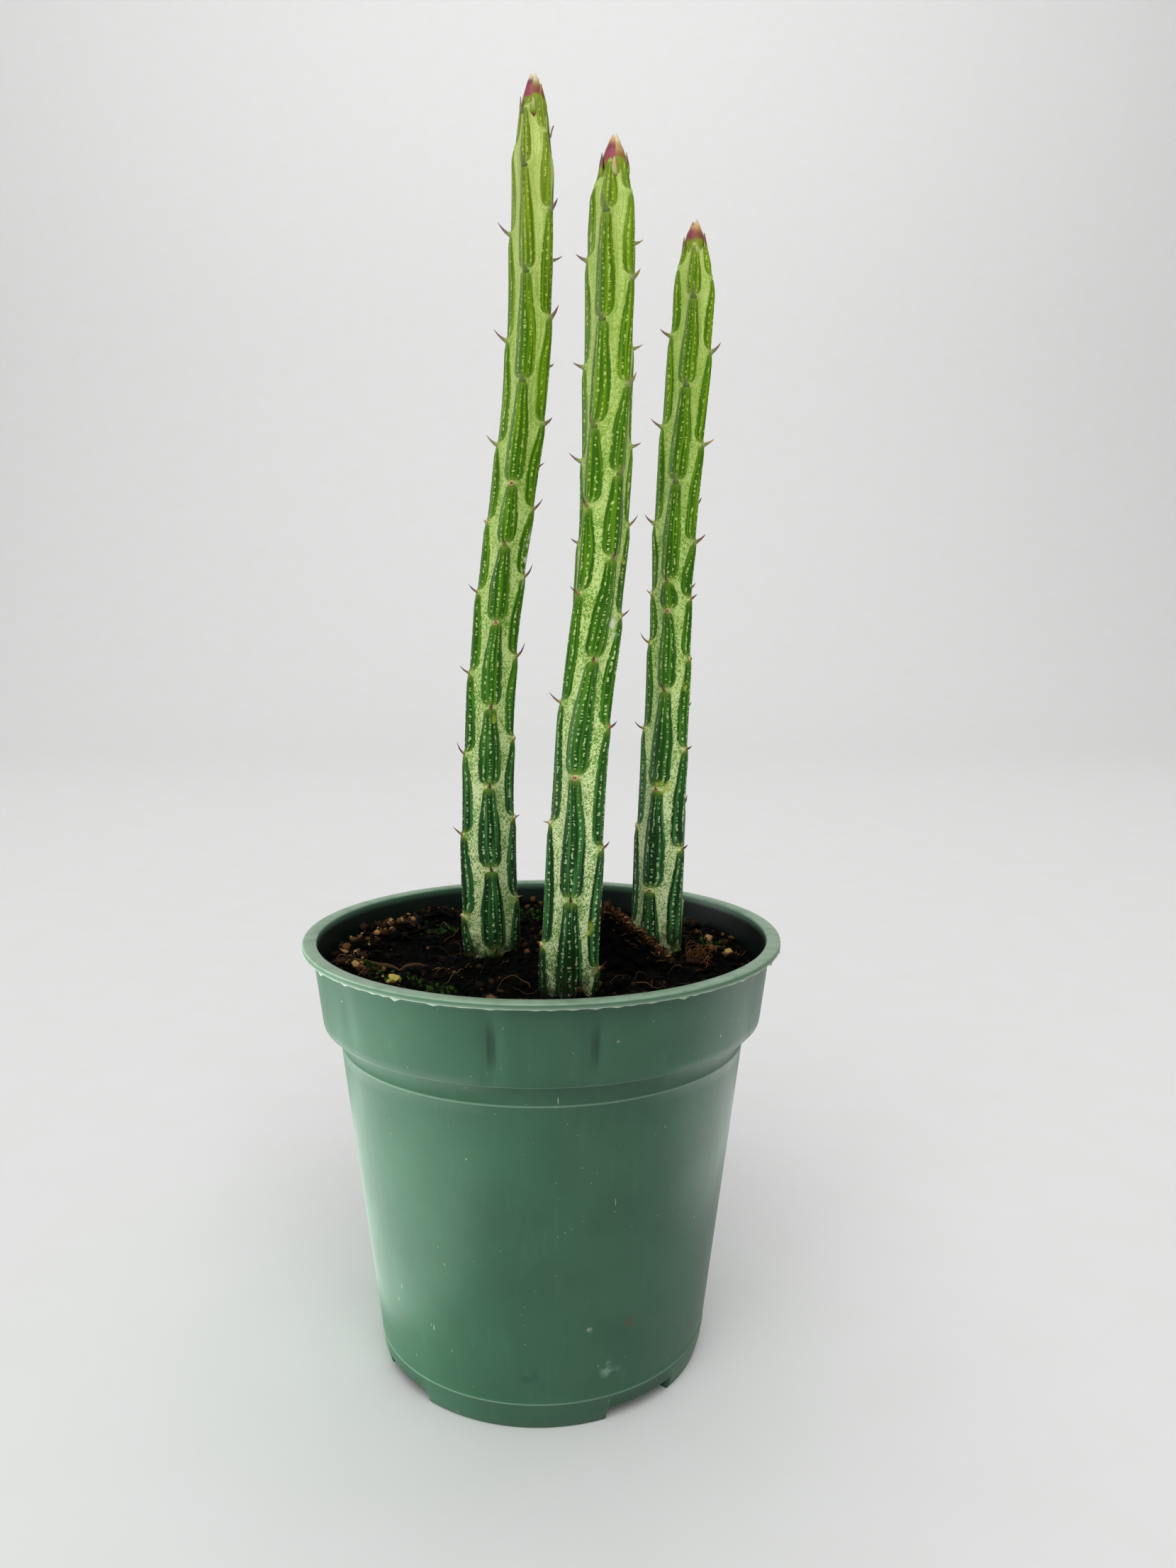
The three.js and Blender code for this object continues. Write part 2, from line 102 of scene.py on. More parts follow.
# Heights are above the soil. A path gives the centre's offsets to the right and to the back,
# turn gives the azimuth of the front rib, and front_leaves the heights of its leaves.
STEMS = [
    {
        "name": "left", "foot": (-0.246, 0.113), "winding": 1,
        "path": [(-CROWN_DEPTH, 1, 0), (0, 0, 0), (30, -0.6, 0.4), (60, 0.2, 0.6), (85, 2.4, 0.4),
                 (110, 6, 0), (135, 9.3, -0.4), (165, 10.7, -0.4), (204, 11, 0.4)],
        "girth": [(-CROWN_DEPTH, 4), (-8, 6.2), (4, 6.8), (18, 6.6), (40, 5.9), (75, 5.2),
                  (140, 4.9), (168, 4.7), (186, 4.2), (197, 2.7), (204, 0.7)],
        "turn": [(0, 12), (60, 3), (98, -3), (135, -12), (160, -16), (204, -36)],
        "front_leaves": [-18, 2, 22, 42, 61, 81, 99, 113, 136, 160, 183, 196, 204],
    },
    {
        "name": "middle", "foot": (0.108, -0.492), "winding": -1,
        "path": [(-CROWN_DEPTH, -1, 0.6), (0, 0, 0), (25, 1.2, -0.2), (50, 2.8, -0.4),
                 (75, 4.8, -0.2), (100, 7, 0), (125, 8, 0.2), (150, 8.6, 0), (178.5, 9, 0)],
        "girth": [(-CROWN_DEPTH, 4), (-8, 6), (4, 6.3), (20, 6), (45, 5.5), (80, 5.1),
                  (140, 4.8), (160, 4.6), (167, 3.9), (173, 2.5), (178.5, 0.6)],
        "turn": [(0, -74), (38, -82), (54, -90), (69, -76), (87, -48), (110, -43), (127, -30),
                 (140, -24), (178.5, -20)],
        "front_leaves": [-16, 11, 38, 64, 87, 105, 121, 142, 163, 173, 178.5],
    },
    {
        "name": "right", "foot": (0.548, 0.17), "winding": -1,
        "path": [(-CROWN_DEPTH, -0.4, 0), (0, 0, 0), (30, 0.9, 0.3), (60, 2, 0.3), (85, 2.7, 0),
                 (110, 3.7, -0.3), (135, 5.4, -0.3), (155, 6.7, 0), (173.9, 6.9, 0.3)],
        "girth": [(-CROWN_DEPTH, 4), (-8, 6.1), (4, 6.4), (20, 6.1), (45, 5.5), (72, 4.9),
                  (85, 4.6), (100, 4.9), (138, 4.8), (157, 4.3), (164, 3.5), (169, 2.2),
                  (173.9, 0.6)],
        "turn": [(0, -29), (40, -24), (64, -18), (80, -16), (90, -24), (113, -16), (136, -10),
                 (173.9, -7)],
        "front_leaves": [-9, 16, 41, 65, 84, 91, 114, 136, 156, 168, 173.9],
    },
]

# ---- Small helpers ----


def along(pairs, at):
    """A value read off a list of (place, value) pairs, straight between them."""
    return np.interp(at, [pair[0] for pair in pairs], [pair[1] for pair in pairs])


def outward(azimuth):
    """The level unit vector at an azimuth."""
    return Vector((sin(radians(azimuth)), -cos(radians(azimuth)), 0.0))


def smooth_step(low, high, value):
    share = np.clip((value - low) / (high - low), 0.0, 1.0)
    return share * share * (3.0 - 2.0 * share)


def linear(hex_colour):
    """An sRGB hex colour as linear RGBA."""
    parts = [int(hex_colour[i:i + 2], 16) / 255.0 for i in (0, 2, 4)]
    toned = [c / 12.92 if c <= 0.04045 else ((c + 0.055) / 1.055) ** 2.4 for c in parts]
    return (*toned, 1.0)


def rolled_grid(bm, rows, sides):
    """A flat grid to roll into a tube: its vertices, how far round and how far up each one lies."""
    made = bmesh.ops.create_grid(bm, x_segments=sides, y_segments=rows, size=0.5, calc_uvs=True)
    places = np.array([v.co for v in made["verts"]])
    return made["verts"], places[:, 0] + 0.5, places[:, 1] + 0.5


def uneven(x, y, z):
    """Smooth noise at a place, from about -1 to 1."""
    return noise.noise(Vector((x, y, z)))


def toned_bmesh():
    """An empty bmesh whose vertices each carry a colour, and the layer that holds it."""
    bm = bmesh.new()
    return bm, bm.verts.layers.float_color.new("tone")


def spun(bm, profile, steps, closed=False):
    """Spins a profile of (radius, height) pairs once round the pot's middle line."""
    ring = [bm.verts.new((0.0, -radius, height)) for radius, height in profile]
    edges = [bm.edges.new(pair) for pair in zip(ring, ring[1:] + ring[:1] * closed)]
    bmesh.ops.spin(bm, geom=ring + edges, axis=(0, 0, 1), cent=(0, 0, 0), steps=steps,
                   angle=2 * pi, use_merge=True)


def strand(bm, points, radii, sides=6, flatten=1.0):
    """A round taper through points, closed at both ends. Flatten thins it one way across."""
    rows = len(points) + 1
    verts, across, up = rolled_grid(bm, rows, sides)
    path = [points[0], *points, points[-1]]
    widths = [0.0, *radii, 0.0]
    frames = []
    for i, point in enumerate(path):
        ahead = Vector(path[min(i + 1, rows)]) - Vector(path[max(i - 1, 0)])
        side = ahead.cross(Vector((0.31, 0.17, 0.93)))
        side = side.normalized() if side.length > 1e-6 else Vector((1.0, 0.0, 0.0))
        frames.append((Vector(point), side, side.cross(ahead).normalized(), widths[i]))
    for vert, share, height in zip(verts, across, up):
        centre, side, other, width = frames[round(height * rows)]
        angle = 2.0 * pi * share
        vert.co = centre + (side * cos(angle) + other * (sin(angle) * flatten)) * width
    return verts


def mesh_object(name, bm, smooth=True):
    """Puts a bmesh in the scene as an object."""
    mesh = bpy.data.meshes.new(name)
    bm.to_mesh(mesh)
    bm.free()
    mesh.polygons.foreach_set("use_smooth", [smooth] * len(mesh.polygons))
    obj = bpy.data.objects.new(name, mesh)
    bpy.context.scene.collection.objects.link(obj)
    return obj


def piece(name, bm, material, nodes=(), merge=0.002):
    """Turns a bmesh in millimetres into a finished piece of the plant."""
    bmesh.ops.remove_doubles(bm, verts=bm.verts, dist=merge)
    bmesh.ops.dissolve_degenerate(bm, edges=bm.edges, dist=merge / 2)
    bmesh.ops.recalc_face_normals(bm, faces=bm.faces)
    bmesh.ops.scale(bm, vec=(MM, MM, MM), verts=bm.verts)
    obj = mesh_object(name, bm)
    obj.data.materials.append(material)
    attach(obj, "root")
    if nodes:
        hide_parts(*nodes)
    return obj


def add(material, kind, settings=None, inputs=None, out=0):
    """Adds a shader node with its settings and returns one of its outputs. The inputs are by name
    or in order, each fed by a socket, or set to a number, a vector or a hex colour."""
    tree = material.node_tree
    node = tree.nodes.new(kind)
    for name, value in (settings or {}).items():
        if name == "stops":
            elements = node.color_ramp.elements
            while len(elements) < len(value):
                elements.new(0.5)
            for element, (position, colour) in zip(elements, value):
                element.position = position
                element.color = linear(colour)
        else:
            setattr(node, name, value)
    for name, source in inputs.items() if isinstance(inputs, dict) else enumerate(inputs or ()):
        if isinstance(source, bpy.types.NodeSocket):
            tree.links.new(source, node.inputs[name])
        else:
            node.inputs[name].default_value = linear(source) if isinstance(source, str) else source
    return node.outputs[out] if len(node.outputs) else node


def new_material(name):
    material = bpy.data.materials.new(name)
    material.use_nodes = True
    material.node_tree.nodes.clear()
    return material


MATH = "ShaderNodeMath"
VECTOR_MATH = "ShaderNodeVectorMath"
MIX = "ShaderNodeMix"
NOISE = "ShaderNodeTexNoise"
RAMP = "ShaderNodeValToRGB"
FADE = "ShaderNodeMapRange"
COMBINE = "ShaderNodeCombineXYZ"
SEPARATE = "ShaderNodeSeparateXYZ"
MAPPING = "ShaderNodeMapping"
COORDINATES = "ShaderNodeTexCoord"
ATTRIBUTE = "ShaderNodeAttribute"
BUMP = "ShaderNodeBump"
PRINCIPLED = "ShaderNodeBsdfPrincipled"
OUTPUT = "ShaderNodeOutputMaterial"

# ---- Stem shapes ----


def curve_through(points, steps=24):
    """A centripetal Catmull-Rom curve through points, as the part's stems follow."""
    points = [np.array(p, dtype=float) for p in points]
    ends = [2 * points[0] - points[1], *points, 2 * points[-1] - points[-2]]
    samples = []
    for p0, p1, p2, p3 in zip(ends, ends[1:], ends[2:], ends[3:]):
        d0, d1, d2 = (sqrt(np.linalg.norm(b - a)) for a, b in ((p0, p1), (p1, p2), (p2, p3)))
        start = ((p1 - p0) / d0 - (p2 - p0) / (d0 + d1) + (p2 - p1) / d1) * d1
        end = ((p2 - p1) / d1 - (p3 - p1) / (d1 + d2) + (p3 - p2) / d2) * d1
        for step in range(steps):
            t = step / steps
            samples.append(p1 + start * t + (3 * (p2 - p1) - 2 * start - end) * t * t
                           + (2 * (p1 - p2) + start + end) * t ** 3)
    return np.array([*samples, points[-1]])


for stem in STEMS:
    foot_x, foot_y = (share * SOIL_RADIUS for share in stem["foot"])
    stem["curve"] = curve_through([(x + foot_x, y + foot_y, up) for up, x, y in stem["path"]])
    stem["low"] = stem["girth"][0][0]
    stem["high"] = stem["girth"][-1][0]


def centre_at(stem, height):
    """The stem's centre at heights above the soil, in the frame."""
    curve = stem["curve"]
    x = np.interp(height, curve[:, 2], curve[:, 0])
    y = np.interp(height, curve[:, 2], curve[:, 1])
    return np.stack([x, y, np.asarray(height) + SOIL_LEVEL], axis=-1)


def height_of_turn(stem, turns):
    return along(list(enumerate(stem["front_leaves"])), turns)


def turn_of_height(stem, height):
    return along([(leaf, i) for i, leaf in enumerate(stem["front_leaves"])], height)


def rib_places(stem, from_front, height):
    """Which rib each place is on, how far it is from its middle in degrees, how far in millimetres
    it lies below its leaf, how far that leaf is above the next, and the leaf's number."""
    turned = np.round(from_front * RIB_COUNT / 360.0)
    aside = from_front - turned * 360.0 / RIB_COUNT
    step = 3 if stem["winding"] > 0 else 2
    offset = np.mod(step * turned, RIB_COUNT) / RIB_COUNT
    turns = turn_of_height(stem, height) - offset
    above = np.ceil(turns)
    leaf = height_of_turn(stem, above + offset)
    interval = np.maximum(leaf - height_of_turn(stem, above - 1 + offset), 3.0)
    return aside, leaf - height, interval, above * RIB_COUNT + offset * RIB_COUNT


SHOULDER_RISE = 1.2
SHOULDER_ROUND = 0.8
CUSHION_FALL = 1.5
KEEL_RISE = 0.26
KEEL_SPREAD = 0.9


def stem_radius(stem, from_front, height):
    """The stem's radius, with its ribs and the cushion that swells below each leaf."""
    height = np.asarray(height, dtype=float)
    from_front = np.asarray(from_front, dtype=float)
    aside, below, interval, _ = rib_places(stem, from_front, height)
    wave = np.cos(np.radians(RIB_COUNT * from_front))
    share = np.clip(below / interval, 0.0, 1.0)
    hanging = (1 - share) ** CUSHION_FALL * (0.5 + 0.5 * smooth_step(0, SHOULDER_ROUND, below))
    rising = 0.5 * smooth_step(interval - SHOULDER_RISE, interval, below)
    cushion = LEAF_CUSHION * np.maximum(hanging, rising) * np.maximum(0.0, wave) ** 0.7
    girth = along(stem["girth"], height)
    relief = np.minimum(1.0, girth / FULL_RELIEF_GIRTH) * np.where(height < 0, 0.3, 1.0)
    across = np.abs(np.radians(aside)) * girth
    keel = KEEL_RISE * np.exp(-across / KEEL_SPREAD) * smooth_step(0.5, 3.0, below)
    return girth + relief * (RIB_DEPTH * wave + cushion + keel - LEAF_CUSHION / 4)


def stem_surface(stem, azimuth, height, out=0.0):
    """The point on a stem's surface at one azimuth and height, moved out a little."""
    from_front = azimuth - along(stem["turn"], height)
    centre = Vector(centre_at(stem, height))
    return centre + outward(azimuth) * float(stem_radius(stem, from_front, height) + out)


def leaf_places(stem):
    """Every leaf's height and azimuth, from the lowest to the last below the bud."""
    top = (len(stem["front_leaves"]) - 1 - BUD_TURNS) * RIB_COUNT
    places = []
    for number in range(top + 1):
        height = float(height_of_turn(stem, number / RIB_COUNT))
        if height > LOWEST_LEAF:
            azimuth = stem["winding"] * LEAF_ANGLE * number + float(along(stem["turn"], height))
            places.append((height, azimuth))
    return places


STEM_ROWS = 560
STEM_SIDES = 150
# How much of a rib its panel takes, by height; then its shape from the leaf down.
PANEL_SHARE = [(0, 0.82), (60, 0.84), (120, 0.84), (150, 0.8), (190, 0.68)]
PANEL_HEAD = 0.48
PANEL_WIDEST = 0.6
PANEL_FOOT = 0.35
PANEL_ROUND = 1.0
FOOT_ROUND = 2.8
PANEL_START = 0.3
PANEL_STOP = 0.6
WOBBLE = 0.14
SKIN_ATTRIBUTES = ("panel", "lane", "below", "above", "height", "hue", "blotch", "bleach")
# Blotches on the skin: azimuth, height, half-width in degrees, half-height in millimetres.
YELLOW_BLOTCHES = {
    "left": [(18, 58, 18, 1.4)],
    "middle": [(-56, 104, 16, 1.6), (70, 93, 16, 2.0), (38, 15, 12, 1.8)],
    "right": [(-8, 41.5, 24, 1.6), (40, 66, 14, 1.6)],
}
BLEACHED = {"left": [(64, 96, 6, 6.0)], "middle": [(54, 80, 15, 2.4)], "right": []}


def spots_on(spots, azimuth, height):
    """How strongly a list of round spots shows at each place on a stem's skin."""
    shown = np.zeros(len(height))
    for spot_azimuth, spot_height, width, tall in spots:
        turned = np.mod(azimuth - spot_azimuth + 180.0, 360.0) - 180.0
        off = (turned / width) ** 2 + ((height - spot_height) / tall) ** 2
        shown = np.maximum(shown, np.exp(-off * off))
    return shown


def stem_skin(stem, material):
    """The stem's skin, one closed tube. Its attributes say where each point lies on its panel:
    the dark strip that hangs below every leaf."""
    bm = bmesh.new()
    layers = {name: bm.verts.layers.float.new(name) for name in SKIN_ATTRIBUTES}
    verts, around, up = rolled_grid(bm, STEM_ROWS, STEM_SIDES)
    low, high = stem["low"], stem["high"]
    height = low + (high - low) * up
    from_front = around * 360.0 - 180.0 / RIB_COUNT
    azimuth = from_front + along(stem["turn"], height)
    radius = stem_radius(stem, from_front, height)
    ends = np.minimum(1.0, np.minimum(up, 1 - up) * STEM_ROWS)
    radius = radius * np.where(ends < 1, 0.0, 1.0)
    centre = centre_at(stem, height)
    centre[:, 0] += np.sin(np.radians(azimuth)) * radius
    centre[:, 1] -= np.cos(np.radians(azimuth)) * radius
    for vert, place in zip(verts, centre):
        vert.co = place

    aside, below, interval, leaf = rib_places(stem, from_front, height)
    girth = along(stem["girth"], height)
    seed = stem["foot"][0] * 40
    wander = np.array([uneven(h / 9.0, r * 3.1, seed) for h, r in zip(height, leaf)])
    across = np.radians(aside) * girth + WOBBLE * 2 * wander
    unlike = np.array([uneven(n * 1.7, seed, 5.0) for n in leaf])
    full = pi * girth / RIB_COUNT * along(PANEL_SHARE, height) * (1 + 0.2 * unlike)
    share = np.clip(below / interval, 0, 1)
    half = full * (PANEL_HEAD + (1 - PANEL_HEAD) * smooth_step(0.0, PANEL_WIDEST, share))
    inside = np.clip((below - PANEL_START) / PANEL_ROUND, 0, 1)
    ending = np.clip((interval - PANEL_STOP - below) / np.minimum(FOOT_ROUND, interval * 0.3), 0, 1)
    half = half * np.sqrt(1 - (1 - inside) ** 2)
    half = half * (PANEL_FOOT + (1 - PANEL_FOOT) * np.sqrt(1 - (1 - ending) ** 2))
    panel = np.minimum(half - np.abs(across), interval - PANEL_STOP - below)
    panel = np.minimum(panel, below - PANEL_START)
    name = stem["name"]
    values = {
        "panel": panel, "lane": across / np.maximum(half, 0.6 * full), "below": below,
        "above": interval - below, "height": height, "hue": unlike,
        "blotch": spots_on(YELLOW_BLOTCHES[name], azimuth, height),
        "bleach": spots_on(BLEACHED[name], azimuth, height),
    }
    for key, layer in layers.items():
        for vert, value in zip(verts, values[key]):
            vert[layer] = float(value)
    piece(name + "_skin", bm, material, [name + "_stem"])


# ---- Leaves ----

LEAF_TONES = {
    "olive": "8A9058", "moss": "6C8638", "plum": "966E72", "umber": "6E4A4C", "tan": "B4945E",
    "rust": "94602A", "cream": "E2D2AE", "pink": "A04A58", "wine": "843C3C", "yellow": "CFC02A",
    "lime": "8CA01E", "bark": "34241E", "blush": "C8A472", "pale": "B0BE7C",
}


def tone_between(stops, at):
    """A colour between named tones, as linear RGBA: stops are places in hundredths, each with the
    name of its tone."""
    words = stops.split()
    colours = [linear(LEAF_TONES[name]) for name in words[1::2]]
    places = [int(place) / 100 for place in words[::2]]
    return tuple(float(np.interp(at, places, [c[i] for c in colours])) for i in range(4))


# An awl-shaped leaf's widths along its length, as shares of its half thickness.
LEAF_SHARES = (0.0, 0.14, 0.32, 0.55, 0.8, 1.0)
LEAF_WIDTHS = (2.2, 1.6, 1.12, 0.78, 0.42, 0.08)
LEAF_SIDES = 7
LEAF_FLATTEN = 0.75


def spike(bm, layer, base, aside, length, thickness, rise, hook, stops, lean):
    """One awl-shaped leaf: a fat base, then a thin taper that turns up, or down for a hook."""
    sideways = Vector((0, 0, 1)).cross(aside)
    points = []
    for share in LEAF_SHARES:
        out = length * (share - (0.1 + 0.3 * abs(hook)) * share * share)
        up = length * (rise * share * (0.45 + 0.55 * share) + hook * share ** 3)
        swerve = sideways * (lean * length * share * share)
        points.append(base + aside * out + Vector((0, 0, up)) + swerve)
    widths = [thickness * w for w in LEAF_WIDTHS]
    verts = strand(bm, points, widths, LEAF_SIDES, LEAF_FLATTEN)
    for i, vert in enumerate(verts):
        row = i // (LEAF_SIDES + 1) - 1
        vert[layer] = tone_between(stops, LEAF_SHARES[min(max(row, 0), len(points) - 1)])


def scar(bm, layer, base, aside, radius):
    """What a dropped leaf leaves: a corky ring round a sunken dark middle."""
    verts, across, up = rolled_grid(bm, 5, 10)
    side = Vector((0, 0, 1)).cross(aside)
    rise = aside.cross(side)
    rings = ((0.0, -0.3), (1.25, -0.25), (1.15, 0.22), (0.75, 0.36), (0.45, 0.12), (0.0, 0.05))
    tones = ("tan", "tan", "cream", "blush", "rust", "umber")
    for vert, share, height in zip(verts, across, up):
        k = round(height * 5)
        angle = 2 * pi * share
        width, out = rings[k]
        rough = 1 + 0.16 * sin(3 * angle + base.z)
        vert.co = base + aside * out + (side * cos(angle) + rise * sin(angle) * 0.8) * (
            width * radius * rough)
        vert[layer] = linear(LEAF_TONES[tones[k]])


# One live leaf of the middle stem, the nearest to this height, has turned yellow.
YELLOW_LEAF_HEIGHT = 104.0


def stem_leaves(stem, material):
    """The live leaves, one piece, and what is left of the older ones, another."""
    live, live_layer = toned_bmesh()
    old, old_layer = toned_bmesh()
    name = stem["name"]
    places = leaf_places(stem)
    first_live = len(places) - LIVE_LEAVES
    yellow_leaf = min(range(len(places)), key=lambda i: abs(places[i][0] - YELLOW_LEAF_HEIGHT))
    for order, (height, azimuth) in enumerate(places):
        aside = outward(azimuth)
        base = stem_surface(stem, azimuth, height - 0.1, -0.2)
        share = height / stem["high"]
        lean = uniform(-0.25, 0.25)
        if order >= first_live:
            stops = "0 pale 30 olive 60 plum 100 umber"
            if random.random() < 0.35:
                stops = "0 pale 40 olive 75 blush 100 plum"
            if name == "middle" and order == yellow_leaf:
                stops = "60 yellow 100 tan"
            length, rise = uniform(2.8, 3.7), uniform(0.35, 0.8)
            if abs((azimuth + 180) % 360 - 180) < 40:
                length, rise, stops = 0.65 * length, rise + 0.5, "0 moss 70 olive 100 plum"
            spike(live, live_layer, base, aside, length, 0.42, rise, 0.0, stops, lean)
        elif random.random() < 0.4 + 0.4 * share:
            stops = "0 moss 20 tan 45 umber 100 bark"
            hook = choice((0.0, 0.0, 0.25, -0.2))
            spike(old, old_layer, base, aside, uniform(2.0, 3.0), 0.3,
                  uniform(0.4, 1.0), hook, stops, lean)
        else:
            scar(old, old_layer, base + aside * 0.25, aside, uniform(0.55, 0.75))
            if random.random() < 0.6:
                stops = "0 blush 40 tan 100 umber"
                spike(old, old_layer, base + aside * 0.2, aside, uniform(0.9, 1.7), 0.26,
                      uniform(0.2, 0.9), 0.0, stops, lean)
    nodes = [f"{name}_leaf_{i:02d}" for i in range(1, LIVE_LEAVES + 1)]
    piece(name + "_leaves", live, material, nodes)
    piece(name + "_old_leaves", old, material)


# ---- Buds ----

# Each bud scale: its azimuth from the front, how far its foot lies below the stem's top, its
# length, its half-width, how far its tip stands off the bud, and its tones from foot to tip.
BUD_SCALES = {
    "left": [
        (180, 7.6, 6.9, 1.6, 0.0, "30 lime 45 pink 80 wine 100 cream"),
        (-36, 8.0, 7.6, 1.7, 0.0, "25 lime 36 pink 66 pink 78 umber 90 cream"),
        (18, 8.4, 8.2, 1.6, -0.1, "35 lime 45 wine 60 rust 72 tan 84 cream"),
        (64, 9.8, 7.4, 1.6, 0.1, "46 lime 60 wine 78 rust 90 tan 100 umber"),
        (-76, 8.9, 3.7, 0.75, 0.5, "0 moss 30 olive 60 plum"),
        (-2, 10.0, 3.9, 0.6, 0.15, "14 wine 24 lime 70 pale 100 cream"),
        (120, 8.6, 6.4, 1.6, 0.2, "40 lime 60 rust 100 cream"),
        (-130, 8.8, 6.4, 1.6, 0.3, "40 moss 60 rust 100 umber"),
        (88, 14.2, 3.2, 0.85, 0.9, "0 moss 40 olive 70 plum 100 umber"),
    ],
    "middle": [
        (180, 7.2, 6.8, 1.7, 0.1, "30 lime 50 wine 100 cream"),
        (-28, 7.6, 7.5, 1.8, 0.0, "20 lime 34 pink 56 pink 70 wine 86 blush 100 cream"),
        (20, 7.8, 7.9, 1.75, -0.1, "34 lime 44 rust 56 tan 74 blush 86 cream"),
        (66, 8.6, 5.2, 1.1, 0.45, "40 lime 58 wine 80 plum 100 pale"),
        (-74, 8.6, 5.1, 1.1, 0.5, "35 lime 55 wine 80 umber 100 plum"),
        (-4, 9.0, 4.1, 0.65, 0.2, "14 wine 26 pale 70 blush 100 cream"),
        (125, 7.8, 6.6, 1.6, 0.2, "30 lime 50 pink 100 cream"),
        (-128, 8.0, 6.6, 1.6, 0.2, "30 lime 50 pink 100 tan"),
    ],
    "right": [
        (180, 7.0, 6.6, 1.5, 0.1, "35 lime 50 wine 100 tan"),
        (-38, 7.4, 7.0, 1.6, 0.0, "30 lime 45 wine 70 pink 86 blush 100 umber"),
        (14, 7.2, 7.4, 1.6, 0.0, "30 lime 44 wine 60 rust 76 blush 100 cream"),
        (64, 8.4, 5.6, 1.2, 0.35, "45 lime 65 wine 100 umber"),
        (-82, 8.6, 5.0, 1.0, 0.5, "0 moss 40 olive 65 wine 100 umber"),
        (0, 9.4, 3.8, 0.6, 0.15, "14 wine 26 lime 70 pale 100 tan"),
        (120, 7.6, 6.2, 1.5, 0.2, "35 lime 55 pink 100 cream"),
        (-132, 7.8, 6.2, 1.5, 0.3, "35 lime 55 pink 100 tan"),
    ],
}
SCALE_THICKNESS = 0.26
SCALE_ROWS = 14
PALE_EDGE = linear("D8BC94")
SCALE_SIDES = 6


def bud(stem, material):
    """The bud: scale leaves that close round the growing tip. Each is a curved blade with a
    thickness, and its foot runs down into the stem."""
    bm, layer = toned_bmesh()
    for azimuth, down, length, half, stand, stops in BUD_SCALES[stem["name"]]:
        made = bmesh.ops.create_grid(bm, x_segments=SCALE_SIDES, y_segments=SCALE_ROWS, size=0.5)
        for vert in made["verts"]:
            side, up = vert.co.x * 2, vert.co.y + 0.5
            height = stem["high"] - down + length * up
            inside = min(height, stem["high"] - 0.3)
            girth = float(along(stem["girth"], inside)) + 0.1
            width = max(half * (1.0 - 0.94 * up ** 2.6), 0.06)
            spread = degrees(min(1.1, width / max(girth, 1.0))) * side
            off = girth - 0.55 + 0.75 * smooth_step(0.0, 0.4, up) + stand * up ** 2
            off = off + 0.14 * (1 - side * side)
            centre = Vector(centre_at(stem, inside))
            centre.z = SOIL_LEVEL + height
            vert.co = centre + outward(azimuth + spread) * float(off)
            edge = 0.45 * smooth_step(0.6, 1.0, abs(side)) * smooth_step(0.2, 0.6, up)
            vert[layer] = [t + (c - t) * edge for t, c in zip(tone_between(stops, up), PALE_EDGE)]
        faces = list({face for vert in made["verts"] for face in vert.link_faces})
        bmesh.ops.solidify(bm, geom=faces, thickness=SCALE_THICKNESS)
    piece(stem["name"] + "_bud", bm, material)


# ---- Pot ----

SPIN_STEPS = 240
FLASH_HEIGHT = LIP_UNDERSIDE + 0.06
MOULD_LINES = (6.57, 78.8)
# Where the collar's wall is pressed in: azimuth, how many degrees wide, depth in millimetres.
DENTS = ((-11.3, 1.8, 0.6), (11.4, 1.6, 0.6), (-52, 3.0, 0.3), (60, 2.5, 0.3), (150, 3.0, 0.4),
         (205, 2.4, 0.3))
# The foot's bottom edge from a notch's end inwards: degrees along, and height.
NOTCH_EDGE = ((0.0, 0.0), (0.06, 2.3), (0.4, 3.0), (1.3, 3.33))


def body_radius(height):
    """The outer radius of the pot's body, below its collar."""
    heights, radii = (FOOT_HEIGHT, COLLAR_BASE), (BODY_BASE_RADIUS, BODY_TOP_RADIUS)
    return float(np.interp(height, heights, radii))


